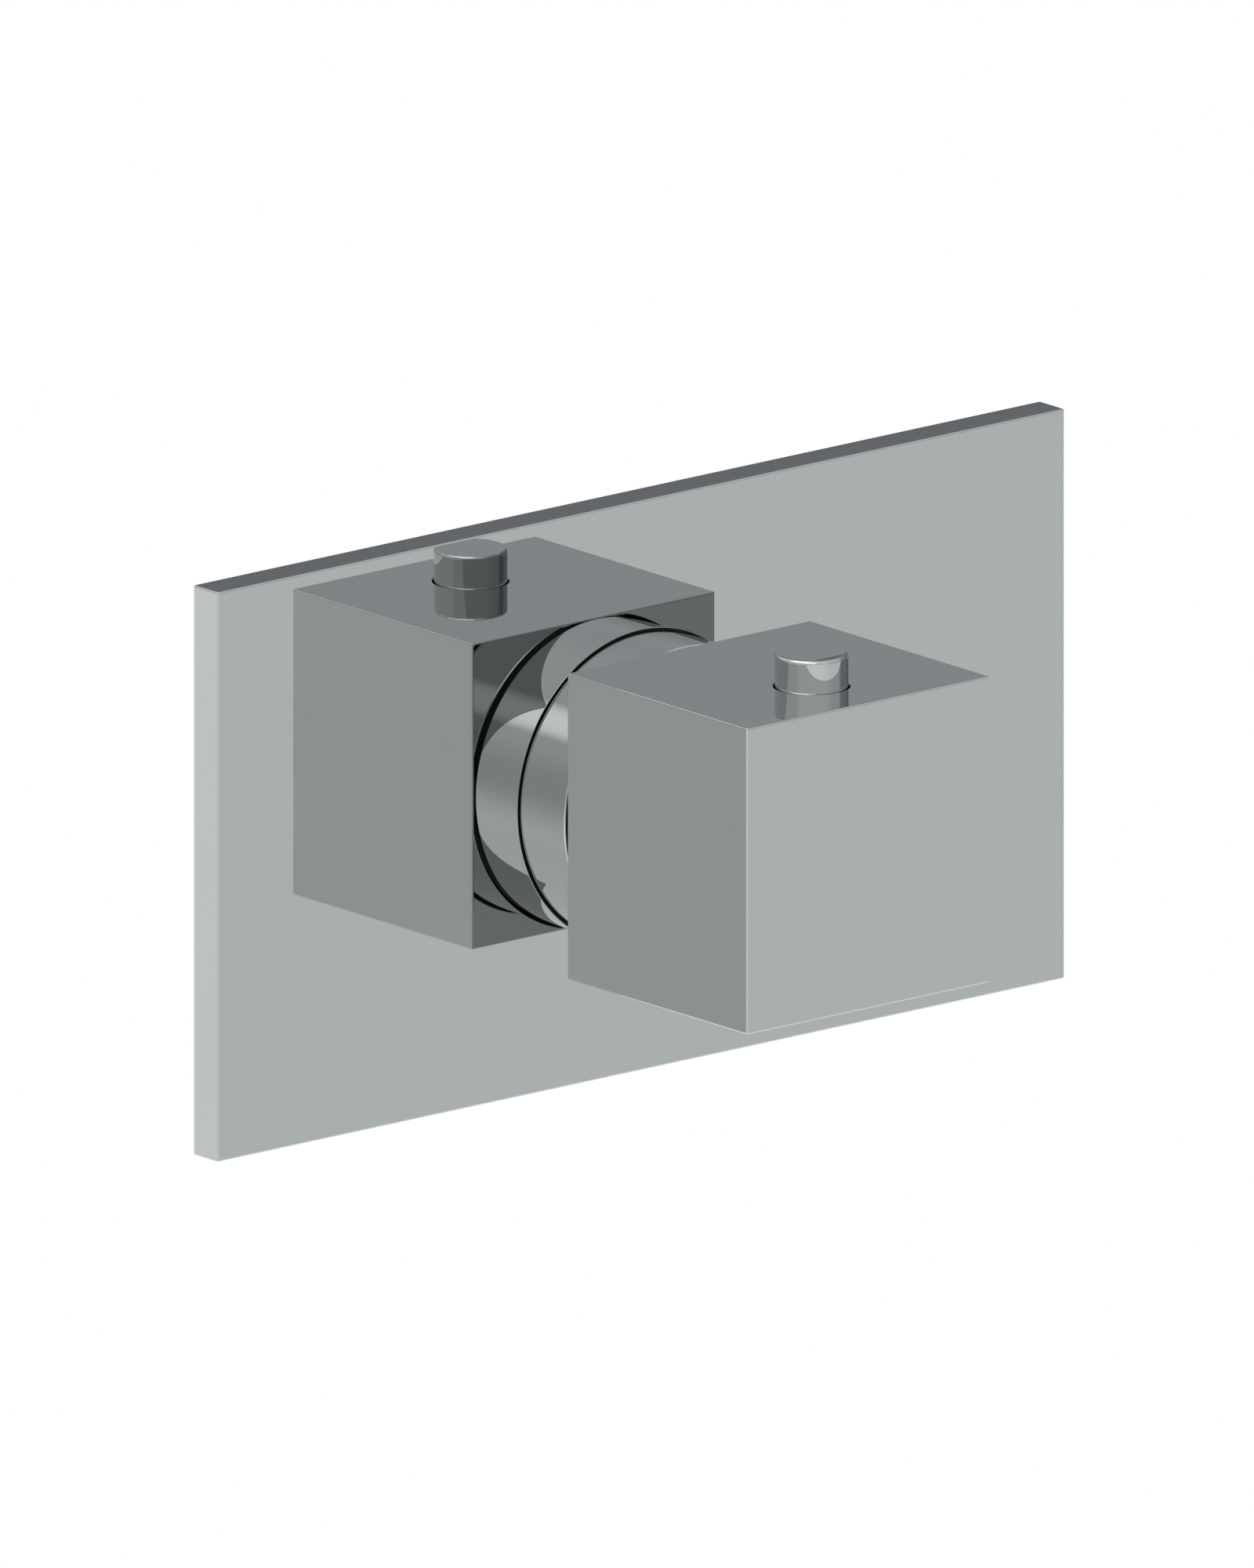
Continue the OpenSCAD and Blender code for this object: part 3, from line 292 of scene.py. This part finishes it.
nodeFinishes = {
    "chrome": ["wall_plate", "collar", "knob", "button"],
    "castBrass": ["valve_body"],
    "turnedBrass": ["spindle", "cartridge_nut", "regulating_screw", "cartridge_end", "blanking_plug",
                    "hot_stop", "cold_stop", "stop_glands"],
    "steel": ["knob_screw", "stop_catch", "button_spring", "spindle_clip", "cold_screen", "hot_screen",
              "overload_spring", "piston_seat", "overload_clip", "wax_piston", "return_spring",
              "hot_check_spring", "cold_check_spring", "hot_filter", "cold_filter"],
    "copper": ["wax_element"],
    "blackPlastic": ["glide_ring", "knob_insert", "stop_ring", "hot_poppet", "cold_poppet"],
    "whitePlastic": ["cartridge_housing", "shuttle", "hot_check_body", "cold_check_body"],
    "sealRubber": ["plate_seal", "collar_o_ring", "spindle_o_rings", "cartridge_o_rings",
                   "shuttle_o_ring", "plug_washer", "stop_o_rings", "check_o_rings"],
    "foam": ["plate_gasket"],
}


def finishNodes():
    for finish, names in nodeFinishes.items():
        for name in names:
            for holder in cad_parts[name].material_slots:
                holder.material = materials[finish]


# small tools of the bench

def clearSelection():
    if bpy.context.object and bpy.context.object.mode != "OBJECT":
        bpy.ops.object.mode_set(mode="OBJECT")
    bpy.ops.object.select_all(action="DESELECT")


def applied(name):
    piece = bpy.context.object
    piece.name = name
    bpy.ops.object.transform_apply(location=True, rotation=True, scale=True)
    return piece


def pickOnly(piece):
    clearSelection()
    piece.select_set(True)
    bpy.context.view_layer.objects.active = piece


def addBlock(name, low, high):
    clearSelection()
    middle = [(a + b) / 2 for a, b in zip(low, high)]
    bpy.ops.mesh.primitive_cube_add(size=1, location=middle, scale=[b - a for a, b in zip(low, high)])
    return applied(name)


def addRod(name, radius, start, end, axis="Y", place=(0, 0, 0), sides=192, farRadius=None, spin=0):
    clearSelection()
    middle = Vector(place)
    middle[axisIndex[axis]] = (start + end) / 2
    bpy.ops.mesh.primitive_cone_add(vertices=sides, radius1=radius,
                                    radius2=radius if farRadius is None else farRadius,
                                    depth=end - start, rotation=(0, 0, math.radians(spin)))
    rod = applied(name)
    rod.rotation_euler = axisTurn[axis]
    rod.location = middle
    return applied(name)


def selectIn(piece, kind, test):
    pickOnly(piece)
    bpy.ops.object.mode_set(mode="EDIT")
    bpy.ops.mesh.select_mode(type=kind)
    bpy.ops.mesh.select_all(action="DESELECT")
    shape = bmesh.from_edit_mesh(piece.data)
    items = shape.edges if kind == "EDGE" else shape.faces
    for item in items:
        if test(item):
            item.select_set(True)
    bmesh.update_edit_mesh(piece.data)


def roundEdges(piece, test, radius, segments):
    selectIn(piece, "EDGE", test)
    bpy.ops.mesh.bevel(offset=radius, offset_type="OFFSET", segments=segments, profile=0.5, affect="EDGES",
                       clamp_overlap=True)
    bpy.ops.object.mode_set(mode="OBJECT")


def combine(piece, tool, operation, solver="EXACT"):
    pickOnly(piece)
    modifier = piece.modifiers.new("combine", "BOOLEAN")
    modifier.operation = operation
    modifier.solver = solver
    modifier.object = tool
    bpy.ops.object.modifier_apply(modifier=modifier.name)
    bpy.data.objects.remove(tool)


def cutAway(piece, tool):
    combine(piece, tool, "DIFFERENCE")


def joinOn(piece, tool):
    combine(piece, tool, "UNION")


def onRim(axis, place, radius, along):
    # picks the edges of one circle round an axis
    index = axisIndex[axis]
    centre = Vector(place)
    centre[index] = along

    def test(edge):
        return all(abs(v.co[index] - along) < pickReach and
                   abs((v.co - centre).length - radius) < 2 * pickReach for v in edge.verts)

    return test


def settleShading(piece, angle=32):
    pickOnly(piece)
    bpy.ops.object.shade_smooth_by_angle(angle=math.radians(angle))
    modifier = piece.modifiers.new("flats", "WEIGHTED_NORMAL")
    modifier.keep_sharp = True
    modifier.weight = 100      # large faces decide, so flats stay flat
    bpy.ops.object.modifier_apply(modifier=modifier.name)


def finishPiece(piece, finish, slot, body, *replaced):
    piece.data.materials.clear()
    piece.data.materials.append(materials[finish])
    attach(piece, body)
    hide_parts(*replaced)
    print("made", piece.name, len(piece.data.polygons), "faces")


def turnProfile(name, points, sides, axis="Y", place=(0, 0, 0)):
    # a ring is drawn out from one station to the next, then its ends are joined
    clearSelection()
    step = Vector((0, 0, 0))
    step[axisIndex[axis]] = 1
    radius, along = points[0]
    bpy.ops.mesh.primitive_circle_add(vertices=sides, radius=radius, location=Vector(place) + step * along,
                                      rotation=axisTurn[axis])
    piece = applied(name)
    pickOnly(piece)
    bpy.ops.object.mode_set(mode="EDIT")
    bpy.ops.mesh.select_all(action="SELECT")
    for nextRadius, nextAlong in points[1:] + points[:1]:
        bpy.ops.mesh.extrude_region_move(
            TRANSFORM_OT_translate={"value": step * (nextAlong - along)})
        grow = nextRadius / radius
        factors = [grow, grow, grow]
        factors[axisIndex[axis]] = 1
        centre = Vector(place) + step * nextAlong
        bpy.ops.transform.resize(value=factors, center_override=centre)
        radius, along = nextRadius, nextAlong
    bpy.ops.mesh.select_all(action="SELECT")
    bpy.ops.mesh.remove_doubles(threshold=weldReach)
    bpy.ops.mesh.normals_make_consistent(inside=False)
    bpy.ops.object.mode_set(mode="OBJECT")
    return piece


def arcPoints(centreR, centreY, radius, fromTurn, toTurn, steps):
    # stations of a rounded corner, its turns in degrees
    turns = [math.radians(fromTurn + (toTurn - fromTurn) * i / steps) for i in range(steps + 1)]
    return [(centreR + radius * math.cos(t), centreY + radius * math.sin(t)) for t in turns]


# wall plate

plateLook = {
    "edge": 0.25 * mm,
    "rim": 2.5 * mm,
    "skin": 1.8 * mm,
    "innerRound": 1.2 * mm,
    "hole": 21.74 * mm,
    "holeEdge": 0.25 * mm,
    "boss": 26.93 * mm,
    "bossShort": 0.2 * mm,
    "ribHalf": 0.8 * mm,
    "ribHeight": 12 * mm,
    "ribShort": 1.2 * mm,
    "seatRadius": 23.58 * mm,
    "seatFrom": -3.05 * mm,
    "seatTo": -1.15 * mm,
}


def makePlate(look):
    low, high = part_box("wall_plate")
    plate = addBlock("plateShell", low, high)
    selectIn(plate, "FACE", lambda face: face.normal.y > squareOn)
    bpy.ops.mesh.inset(thickness=look["rim"])
    bpy.ops.mesh.extrude_region_move(
        TRANSFORM_OT_translate={"value": (0, low.y + look["skin"] - high.y, 0)})
    bpy.ops.object.mode_set(mode="OBJECT")
    wide = high.x - look["rim"] / 2

    def isOuter(edge):
        ends = [v.co for v in edge.verts]
        return min(abs(c.x) for c in ends) > wide and min(c.y for c in ends) < -look["skin"]

    def isInnerCorner(edge):
        first, second = (v.co for v in edge.verts)
        return max(abs(first.x), abs(second.x)) < wide and abs(first.y - second.y) > look["skin"]

    roundEdges(plate, isOuter, look["edge"], segments=4)
    roundEdges(plate, isInnerCorner, look["innerRound"], segments=5)
    buried = low.y + look["skin"] / 2
    joinOn(plate, addRod("boss", look["boss"], buried, high.y - look["bossShort"]))
    for side in (-1, 1):
        height = side * look["ribHeight"]
        joinOn(plate, addBlock("rib", (-wide, buried, height - look["ribHalf"]),
                               (wide, high.y - look["ribShort"], height + look["ribHalf"])))
    cutAway(plate, addRod("hole", look["hole"], low.y - past, high.y + past))
    cutAway(plate, addRod("seat", look["seatRadius"], look["seatFrom"], look["seatTo"]))
    roundEdges(plate, onRim("Y", (0, 0, 0), look["hole"], low.y), look["holeEdge"], segments=3)
    settleShading(plate)
    finishPiece(plate, "chrome", "chrome", "valve", "wall_plate")


# sleeve

sleeveLook = {
    "sides": 256,
    "wall": 1.6 * mm,
    "edge": 0.3 * mm,
    "proud": 0.2 * mm,      # the photograph's sleeve is that much wider than the solid one
}


def makeSleeve(look):
    low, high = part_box("collar")
    outer = high.x + look["proud"]
    inner = high.x - look["wall"]
    edge = look["edge"]
    points = arcPoints(outer - edge, low.y + edge, edge, -90, 0, steps=5)
    points += [(outer, high.y), (inner, high.y), (inner, low.y)]
    sleeve = turnProfile("sleeveTube", points, look["sides"])
    settleShading(sleeve)
    finishPiece(sleeve, "chrome", "chrome", "valve", "collar")


# knob

knobLook = {
    "edge": 0.25 * mm,
    "wall": 4.5 * mm,
    "face": 5 * mm,
    "pocketRadius": 19.5 * mm,
    "recessRadius": 21.3 * mm,
    "recessWide": 21.9 * mm,
    "recessDeep": 0.65 * mm,
    "recessHalf": 21.1 * mm,
    "buttonAt": -41 * mm,
    "buttonSides": 160,
    "buttonHole": 5.2 * mm,
    "buttonEdge": 0.3 * mm,
    "screwAt": -33 * mm,
    "screwSides": 64,
    "screwHole": 2.5 * mm,
    "screwBoss": 5 * mm,
    "screwBossUp": 3.8 * mm,
}


def makeKnob(look):
    low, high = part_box("knob")
    knob = addBlock("knobShell", low, high)
    roundEdges(knob, lambda edge: True, look["edge"], segments=4)
    pocket = high.x - look["wall"]
    buttonPlace = (0, look["buttonAt"], 0)
    screwPlace = (0, look["screwAt"], 0)
    hollow = addBlock("hollow", (-pocket, low.y + look["face"], -pocket), (pocket, high.y + past, pocket))
    combine(hollow, addRod("round", look["pocketRadius"], low.y, high.y + 2 * past), "INTERSECT")
    cutAway(knob, hollow)
    slope = (look["recessWide"] - look["recessRadius"]) / look["recessDeep"]
    recess = addRod("recess", look["recessRadius"], high.y - look["recessDeep"], high.y + past,
                    farRadius=look["recessWide"] + slope * past)
    half = look["recessHalf"]
    combine(recess, addBlock("square", (-half, low.y, -half), (half, high.y + 2 * past, half)), "INTERSECT")
    cutAway(knob, recess)
    joinOn(knob, addRod("boss", look["screwBoss"], -pocket - look["wall"] / 2, -pocket + look["screwBossUp"],
                        "Z", screwPlace, look["screwSides"]))
    cutAway(knob, addRod("screwHole", look["screwHole"], low.z - past, 0, "Z",
                         screwPlace, look["screwSides"]))
    cutAway(knob, addRod("buttonHole", look["buttonHole"], 0, high.z + past, "Z",
                         buttonPlace, look["buttonSides"]))
    roundEdges(knob, onRim("Z", buttonPlace, look["buttonHole"], high.z), look["buttonEdge"], segments=6)
    settleShading(knob)
    finishPiece(knob, "chrome", "chrome", "knob", "knob")


# push button

buttonLook = {
    "sides": 160,
    "radius": 5.025 * mm,
    "edge": 0.5 * mm,
    "flatBand": 0.12 * mm,      # keeps the top's shading flat up to the rounded edge
    "footWide": 1.15 * mm,
    "footHigh": 1.3 * mm,
    "wall": 0.9 * mm,
    "roof": 1.5 * mm,
    "footTop": 16.95 * mm,
    "postRadius": 2.4 * mm,
    "postDeep": 3 * mm,
    "socketRadius": 1.65 * mm,
    "socketTop": 0.6 * mm,
    "core": 0.02 * mm,          # radius left open at the axis, then closed to a point
}


def makeButton(look):
    low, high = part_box("button")
    middle = ((low.x + high.x) / 2, (low.y + high.y) / 2, 0)
    radius = look["radius"]
    edge = look["edge"]
    core = look["core"]
    foot = radius + look["footWide"]
    inner = radius - look["wall"]
    post = look["postRadius"]
    socket = look["socketRadius"]
    top = high.z
    roof = top - look["roof"]
    footTop = look["footTop"]
    footBottom = footTop - look["footHigh"]
    postEnd = roof - look["postDeep"]
    socketEnd = roof - look["socketTop"]
    points = [(core, top), (radius - edge - look["flatBand"], top)]
    points += arcPoints(radius - edge, top - edge, edge, 90, 0, steps=8)
    points += [(radius, footTop), (foot, footTop), (foot, footBottom), (inner, footBottom), (inner, roof),
               (post, roof), (post, postEnd), (socket, postEnd), (socket, socketEnd), (core, socketEnd)]
    button = turnProfile("buttonCap", points, look["sides"], "Z", middle)

    def isCore(edge):
        return all(math.hypot(v.co.x - middle[0], v.co.y - middle[1]) < 2 * core for v in edge.verts)

    selectIn(button, "EDGE", isCore)
    bpy.ops.mesh.remove_doubles(threshold=3 * core)
    bpy.ops.mesh.select_all(action="SELECT")
    bpy.ops.mesh.delete_loose()
    bpy.ops.object.mode_set(mode="OBJECT")
    settleShading(button)
    finishPiece(button, "chrome", "chrome", "button", "button")


# valve body: one casting, then its turned nose, ports and bores

bodyLook = {
    "voxel": 0.6 * mm,
    "smoothing": 7,             # passes that give the casting its radii
    "smoothFactor": 0.5,
    "sharpTurn": 38,            # degrees from which an edge stays sharp
    "barrel": 20.5 * mm,
    "flange": 20.8 * mm,
    "lugThick": 5 * mm,
    "lugRound": 5.5 * mm,
    "fixWide": 26 * mm,
    "fixHigh": 18 * mm,
    "fixHole": 2.75 * mm,
    "inletPlace": (0, 18 * mm, 0),
    "outletPlace": (0, 31.5 * mm, 0),
    "plugPlace": (0, 36.5 * mm, 0),
    "arm": 12.6 * mm,
    "hexLong": 9 * mm,
    "hexCorner": 15.011 * mm,
    "hexFace": 13 * mm,
    "hexSlope": 1.73,           # how fast the turned-off corners widen
    "plugBoss": 9 * mm,
    "plugTop": 20.9 * mm,
    "plugHole": 5.72 * mm,
    "stopAt": 24 * mm,
    "stopBoss": 7 * mm,
    "stopFrom": 6 * mm,
    "stopTo": 29.8 * mm,
    "nose": 19.6 * mm,
    "noseTo": 5.4 * mm,
    "noseEdge": 0.5 * mm,
    "noseCore": 5 * mm,
    "noseRoot": 2 * mm,         # how deep the turned nose sits in the casting
    "noseOver": 0.4 * mm,       # how far the casting reaches round it
    "groove": (17.6 * mm, 0.9 * mm, 3.1 * mm),
    # bores, in millimetres: radius, start, end, axis and depth behind the wall
    "cores": [(17, -12, -2, "Y", 0), (15.5, -3, 42, "Y", 0), (17.6, 9.5, 15.5, "Y", 0),
              (17.6, 20.5, 26.5, "Y", 0), (1.8, 0, 24, "X", 12.5), (1.8, -24, 0, "X", 23.5),
              (4, -32, 0, "Z", 36.5)],
    "inletCores": [(9, 38), (8.4, 29), (2.8, 24)],      # radius and inner end, on both sides
    "inletCoreEnd": 50,         # their outer end, past the face
    "stopCores": [(4.1, 3, 27.6), (5.55, 3, 8.45), (6.5, 2, 6)],     # radius, start and end, on both sides
    "coreSides": 80,
    "wideCore": 14,             # bores of a larger radius have more sides
    "wideSides": 160,
    "boreRadius": 17.6 * mm,    # within this radius and depth the body is turned brass
    "boreEnd": 42 * mm,
    "turnedSkin": 0.1 * mm,
    "inletThreadTo": 39 * mm,
    "outletThreadTo": 30 * mm,
    "threadRoot": 10.48 * mm,
}


def addLug(look, x, z, front, back):
    reach = math.hypot(x, z)
    wide = look["lugRound"]
    lug = addBlock("lug", (0, front, -wide), (reach, back, wide))
    lug.rotation_euler = (0, -math.atan2(z, x), 0)
    applied("lug")
    joinOn(lug, addRod("lugEnd", wide, front, back, "Y", (x, 0, z), sides=64))
    return lug


def addHexPort(look, axis, place, inner, face):
    # a six-sided boss whose corners are turned off at the open end
    depth = abs(face - inner)
    wide = look["hexFace"] + look["hexSlope"] * depth
    start, end = min(inner, face), max(inner, face)
    flatUp = 30 if axis == "X" else 90
    port = addRod("hexPort", look["hexCorner"], start, end, axis, place, sides=6, spin=flatUp)
    first, last = (wide, look["hexFace"]) if face > inner else (look["hexFace"], wide)
    combine(port, addRod("turned", first, start, end, axis, place, sides=96, farRadius=last), "INTERSECT")
    return port


def castBody(look, low, high):
    back = high.y
    arm = look["arm"]
    front = back - look["lugThick"]
    inside = look["hexLong"] / 2
    barrelEnd = back - look["lugThick"] / 2
    body = addRod("bodyCasting", look["barrel"], look["noseTo"] - look["noseOver"], barrelEnd)
    joinOn(body, addRod("flange", look["flange"], front, back))
    joinOn(body, addRod("inlets", arm, low.x + inside, high.x - inside, "X", look["inletPlace"]))
    joinOn(body, addRod("outlet", arm, low.z + inside, 0, "Z", look["outletPlace"]))
    joinOn(body, addRod("plugBoss", look["plugBoss"], 0, look["plugTop"], "Z", look["plugPlace"]))
    for side in (-1, 1):
        joinOn(body, addRod("stopBoss", look["stopBoss"], look["stopFrom"], look["stopTo"], "Y",
                            (side * look["stopAt"], 0, 0)))
        for up in (-1, 1):
            joinOn(body, addLug(look, side * look["fixWide"], up * look["fixHigh"], front, back))
    body.data.remesh_voxel_size = look["voxel"]
    body.data.use_remesh_fix_poles = False
    pickOnly(body)
    bpy.ops.object.voxel_remesh()
    smooth = body.modifiers.new("castRadii", "SMOOTH")
    smooth.factor = look["smoothFactor"]
    smooth.iterations = look["smoothing"]
    bpy.ops.object.modifier_apply(modifier=smooth.name)
    return body


def addBores(look, low, high):
    # all the hollows of the body as one tool
    bores = addRod("bores", look["plugHole"], 0, high.z + past, "Z", look["plugPlace"], sides=64)

    def addCore(radius, start, end, axis, place):
        sides = look["wideSides"] if radius > look["wideCore"] else look["coreSides"]
        joinOn(bores, addRod("core", radius * mm, start * mm, end * mm, axis, place, sides))

    for radius, start, end, axis, depth in look["cores"]:
        addCore(radius, start, end, axis, (0, depth * mm, 0))
    for side in (-1, 1):
        for radius, start in look["inletCores"]:
            ends = sorted((side * start, side * look["inletCoreEnd"]))
            addCore(radius, *ends, "X", look["inletPlace"])
        for radius, start, end in look["stopCores"]:
            addCore(radius, start, end, "Y", (side * look["stopAt"], 0, 0))
    for start, end, axis, place in (
            (low.x - past, -look["inletThreadTo"], "X", look["inletPlace"]),
            (look["inletThreadTo"], high.x + past, "X", look["inletPlace"]),
            (low.z - past, -look["outletThreadTo"], "Z", look["outletPlace"])):
        joinOn(bores, addRod("threadBore", look["threadRoot"], start, end, axis, place, sides=96))
    for x in (-look["fixWide"], look["fixWide"]):
        for z in (-look["fixHigh"], look["fixHigh"]):
            joinOn(bores, addRod("fixing", look["fixHole"], high.y - 2 * look["lugThick"], high.y + past, "Y",
                                 (x, 0, z), sides=48))
    return bores


def makeBody(look):
    low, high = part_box("valve_body")
    body = castBody(look, low, high)
    grooveRadius, grooveFrom, grooveTo = look["groove"]
    wide = look["nose"]
    core = look["noseCore"]
    edge = look["noseEdge"]
    root = look["noseTo"] + look["noseRoot"]
    nose = turnProfile("nose", [
        (core, low.y), (wide - edge, low.y), (wide, low.y + edge),
        (wide, grooveFrom), (grooveRadius, grooveFrom), (grooveRadius, grooveTo), (wide, grooveTo),
        (wide, root), (core, root)], sides=192)
    combine(body, nose, "UNION", "MANIFOLD")
    for face in (low.x, high.x):
        inner = face - math.copysign(look["hexLong"], face)
        combine(body, addHexPort(look, "X", look["inletPlace"], inner, face), "UNION", "MANIFOLD")
    outlet = addHexPort(look, "Z", look["outletPlace"], low.z + look["hexLong"], low.z)
    combine(body, outlet, "UNION", "MANIFOLD")
    combine(body, addBores(look, low, high), "DIFFERENCE", "MANIFOLD")
    settleShading(body, look["sharpTurn"])
    finishPiece(body, "castBrass", "cast_brass", "valve", "valve_body")
    body.data.materials.append(materials["turnedBrass"])
    skin = look["turnedSkin"]
    arm = look["threadRoot"] + skin
    inletY = look["inletPlace"][1]
    plugY = look["plugPlace"][1]

    def isTurned(face):
        spot = face.calc_center_median()
        fromAxis = math.hypot(spot.x, spot.z)
        fixing = math.hypot(abs(spot.x) - look["fixWide"], abs(spot.z) - look["fixHigh"])
        return (fromAxis < wide + skin and spot.y < look["noseTo"] or
                fromAxis < look["boreRadius"] + skin and spot.y < look["boreEnd"] + skin or
                abs(spot.x) > high.x - look["hexLong"] - skin / 2 or
                spot.z < low.z + look["hexLong"] + skin / 2 or
                math.hypot(spot.y - inletY, spot.z) < arm and abs(spot.x) > look["stopAt"] or
                math.hypot(spot.x, spot.y - plugY) < look["plugHole"] + skin or
                fixing < look["fixHole"] + skin)

    selectIn(body, "FACE", isTurned)
    body.active_material_index = 1
    bpy.ops.object.material_slot_assign()
    bpy.ops.object.mode_set(mode="OBJECT")


# a small ring carried round and along an axis, for threads and springs

def windCoil(name, sides, ring, reach, turns, rise, steps, axis, place):
    clearSelection()
    bpy.ops.mesh.primitive_circle_add(vertices=sides, radius=ring, fill_type="NOTHING",
                                      rotation=(math.pi / 2, 0, 0))
    coil = applied(name)
    coil.rotation_euler = (0, -math.pi / 2, 0)
    applied(name)
    coil.location = (reach, 0, 0)
    applied(name)
    screw = coil.modifiers.new("screw", "SCREW")
    screw.axis = "Z"
    screw.angle = 2 * math.pi * turns
    screw.screw_offset = rise
    screw.steps = screw.render_steps = round(steps * turns)
    bpy.ops.object.modifier_apply(modifier=screw.name)
    bpy.ops.object.mode_set(mode="EDIT")
    bpy.ops.mesh.select_all(action="SELECT")
    bpy.ops.mesh.fill_holes(sides=sides)
    bpy.ops.mesh.normals_make_consistent(inside=False)
    bpy.ops.object.mode_set(mode="OBJECT")
    coil.rotation_euler = axisTurn[axis]
    coil.location = place
    return applied(name)


# thread in each port, from its start along the axis

toothLook = {"tip": 9.32 * mm, "pitch": 1.814 * mm, "radius": 0.867 * mm, "sides": 3, "steps": 72}

threadLooks = {
    "hotThread": {"start": -47.4 * mm, "turns": 4, "axis": "X", "place": bodyLook["inletPlace"]},
    "coldThread": {"start": 40.1 * mm, "turns": 4, "axis": "X", "place": bodyLook["inletPlace"]},
    "mixedThread": {"start": -40 * mm, "turns": 5, "axis": "Z", "place": bodyLook["outletPlace"]},
}


def makeThread(name, look):
    radius = toothLook["radius"]
    turns = look["turns"]
    spot = Vector(look["place"])
    spot[axisIndex[look["axis"]]] = look["start"]
    thread = windCoil(name, toothLook["sides"], radius, toothLook["tip"] + radius, turns,
                      toothLook["pitch"] * turns, toothLook["steps"], look["axis"], spot)
    settleShading(thread)
    thread.data.materials.append(materials["turnedBrass"])
    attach(thread, "valve")
    print("made", thread.name, len(thread.data.polygons), "faces")


# springs: each coil is wound to fill its spring's box and goes with its body

wireLook = {"sides": 12, "steps": 40, "smooth": 50}      # steps in a turn, degrees up to which it is smooth

springLooks = {
    "buttonCoil": {"node": "button_spring", "body": "knob", "joint": "button_press", "axis": "Z",
                   "turns": 8, "wire": 0.3 * mm, "fixedEnd": 12.4 * mm, "travel": 2.5 * mm},
    "returnCoil": {"node": "return_spring", "body": "valve", "joint": "knob_turn", "axis": "Y",
                   "turns": 5, "wire": 0.5 * mm, "fixedEnd": 31 * mm, "travel": 1.37 * mm},
    "overloadCoil": {"node": "overload_spring", "body": "carriage", "joint": "overload_slide", "axis": "Y",
                     "turns": 2.5, "wire": 0.5 * mm, "fixedEnd": 1.2 * mm, "travel": 0.5 * mm},
    "hotCheckCoil": {"node": "hot_check_spring", "body": "valve", "joint": "hot_check_lift", "axis": "X",
                     "turns": 3, "wire": 0.25 * mm, "fixedEnd": -31.1 * mm, "travel": 1.5 * mm},
    "coldCheckCoil": {"node": "cold_check_spring", "body": "valve", "joint": "cold_check_lift", "axis": "X",
                      "turns": 3, "wire": 0.25 * mm, "fixedEnd": 31.1 * mm, "travel": 1.5 * mm},
}


def makeSpring(name, look):
    low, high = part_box(look["node"])
    along = axisIndex[look["axis"]]
    across = (along + 1) % 3
    wire = look["wire"]
    reach = (high[across] - low[across]) / 2 - wire
    start = (low + high) / 2
    start[along] = low[along] + wire
    rise = high[along] - low[along] - 2 * wire
    spring = windCoil(name, wireLook["sides"], wire, reach, look["turns"], rise, wireLook["steps"],
                      look["axis"], start)
    settleShading(spring, wireLook["smooth"])
    finishPiece(spring, "steel", "steel", look["body"], look["node"])
    fixedEnd = look["fixedEnd"]
    anchor = (low + high) / 2
    anchor[along] = fixedEnd
    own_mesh(spring)


# foam strip behind the plate

foamLook = {"wide": 8 * mm, "corner": 1.5 * mm, "soft": 0.7 * mm, "fill": 1.0}


def makeFoam(look):
    low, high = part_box("plate_gasket")
    wide = look["wide"]

    def isCorner(edge):
        first, second = (v.co for v in edge.verts)
        return abs(first.y - second.y) > look["soft"]

    def isBack(edge):
        return all(abs(v.co.y - high.y) < pickReach for v in edge.verts)

    strip = addBlock("foamStrip", low, high)
    roundEdges(strip, isCorner, look["corner"], segments=5)
    window = addBlock("window", (low.x + wide, low.y - past, low.z + wide),
                      (high.x - wide, high.y + past, high.z - wide))
    roundEdges(window, isCorner, look["corner"], segments=5)
    cutAway(strip, window)
    roundEdges(strip, isBack, look["soft"], segments=4)
    settleShading(strip)
    finishPiece(strip, "foam", "foam", "valve", "plate_gasket")


materials = {name: makeFinish(name, finish) for name, finish in finishes.items()}
finishNodes()
print("finishes set")
placeCamera(viewSetup)
buildStudio(studioSetup)
layFloor(floorSetup)
print("studio set")
makePlate(plateLook)
makeSleeve(sleeveLook)
makeKnob(knobLook)
makeButton(buttonLook)
makeBody(bodyLook)
for name, look in threadLooks.items():
    makeThread(name, look)
for name, look in springLooks.items():
    makeSpring(name, look)
makeFoam(foamLook)
print("pieces made")
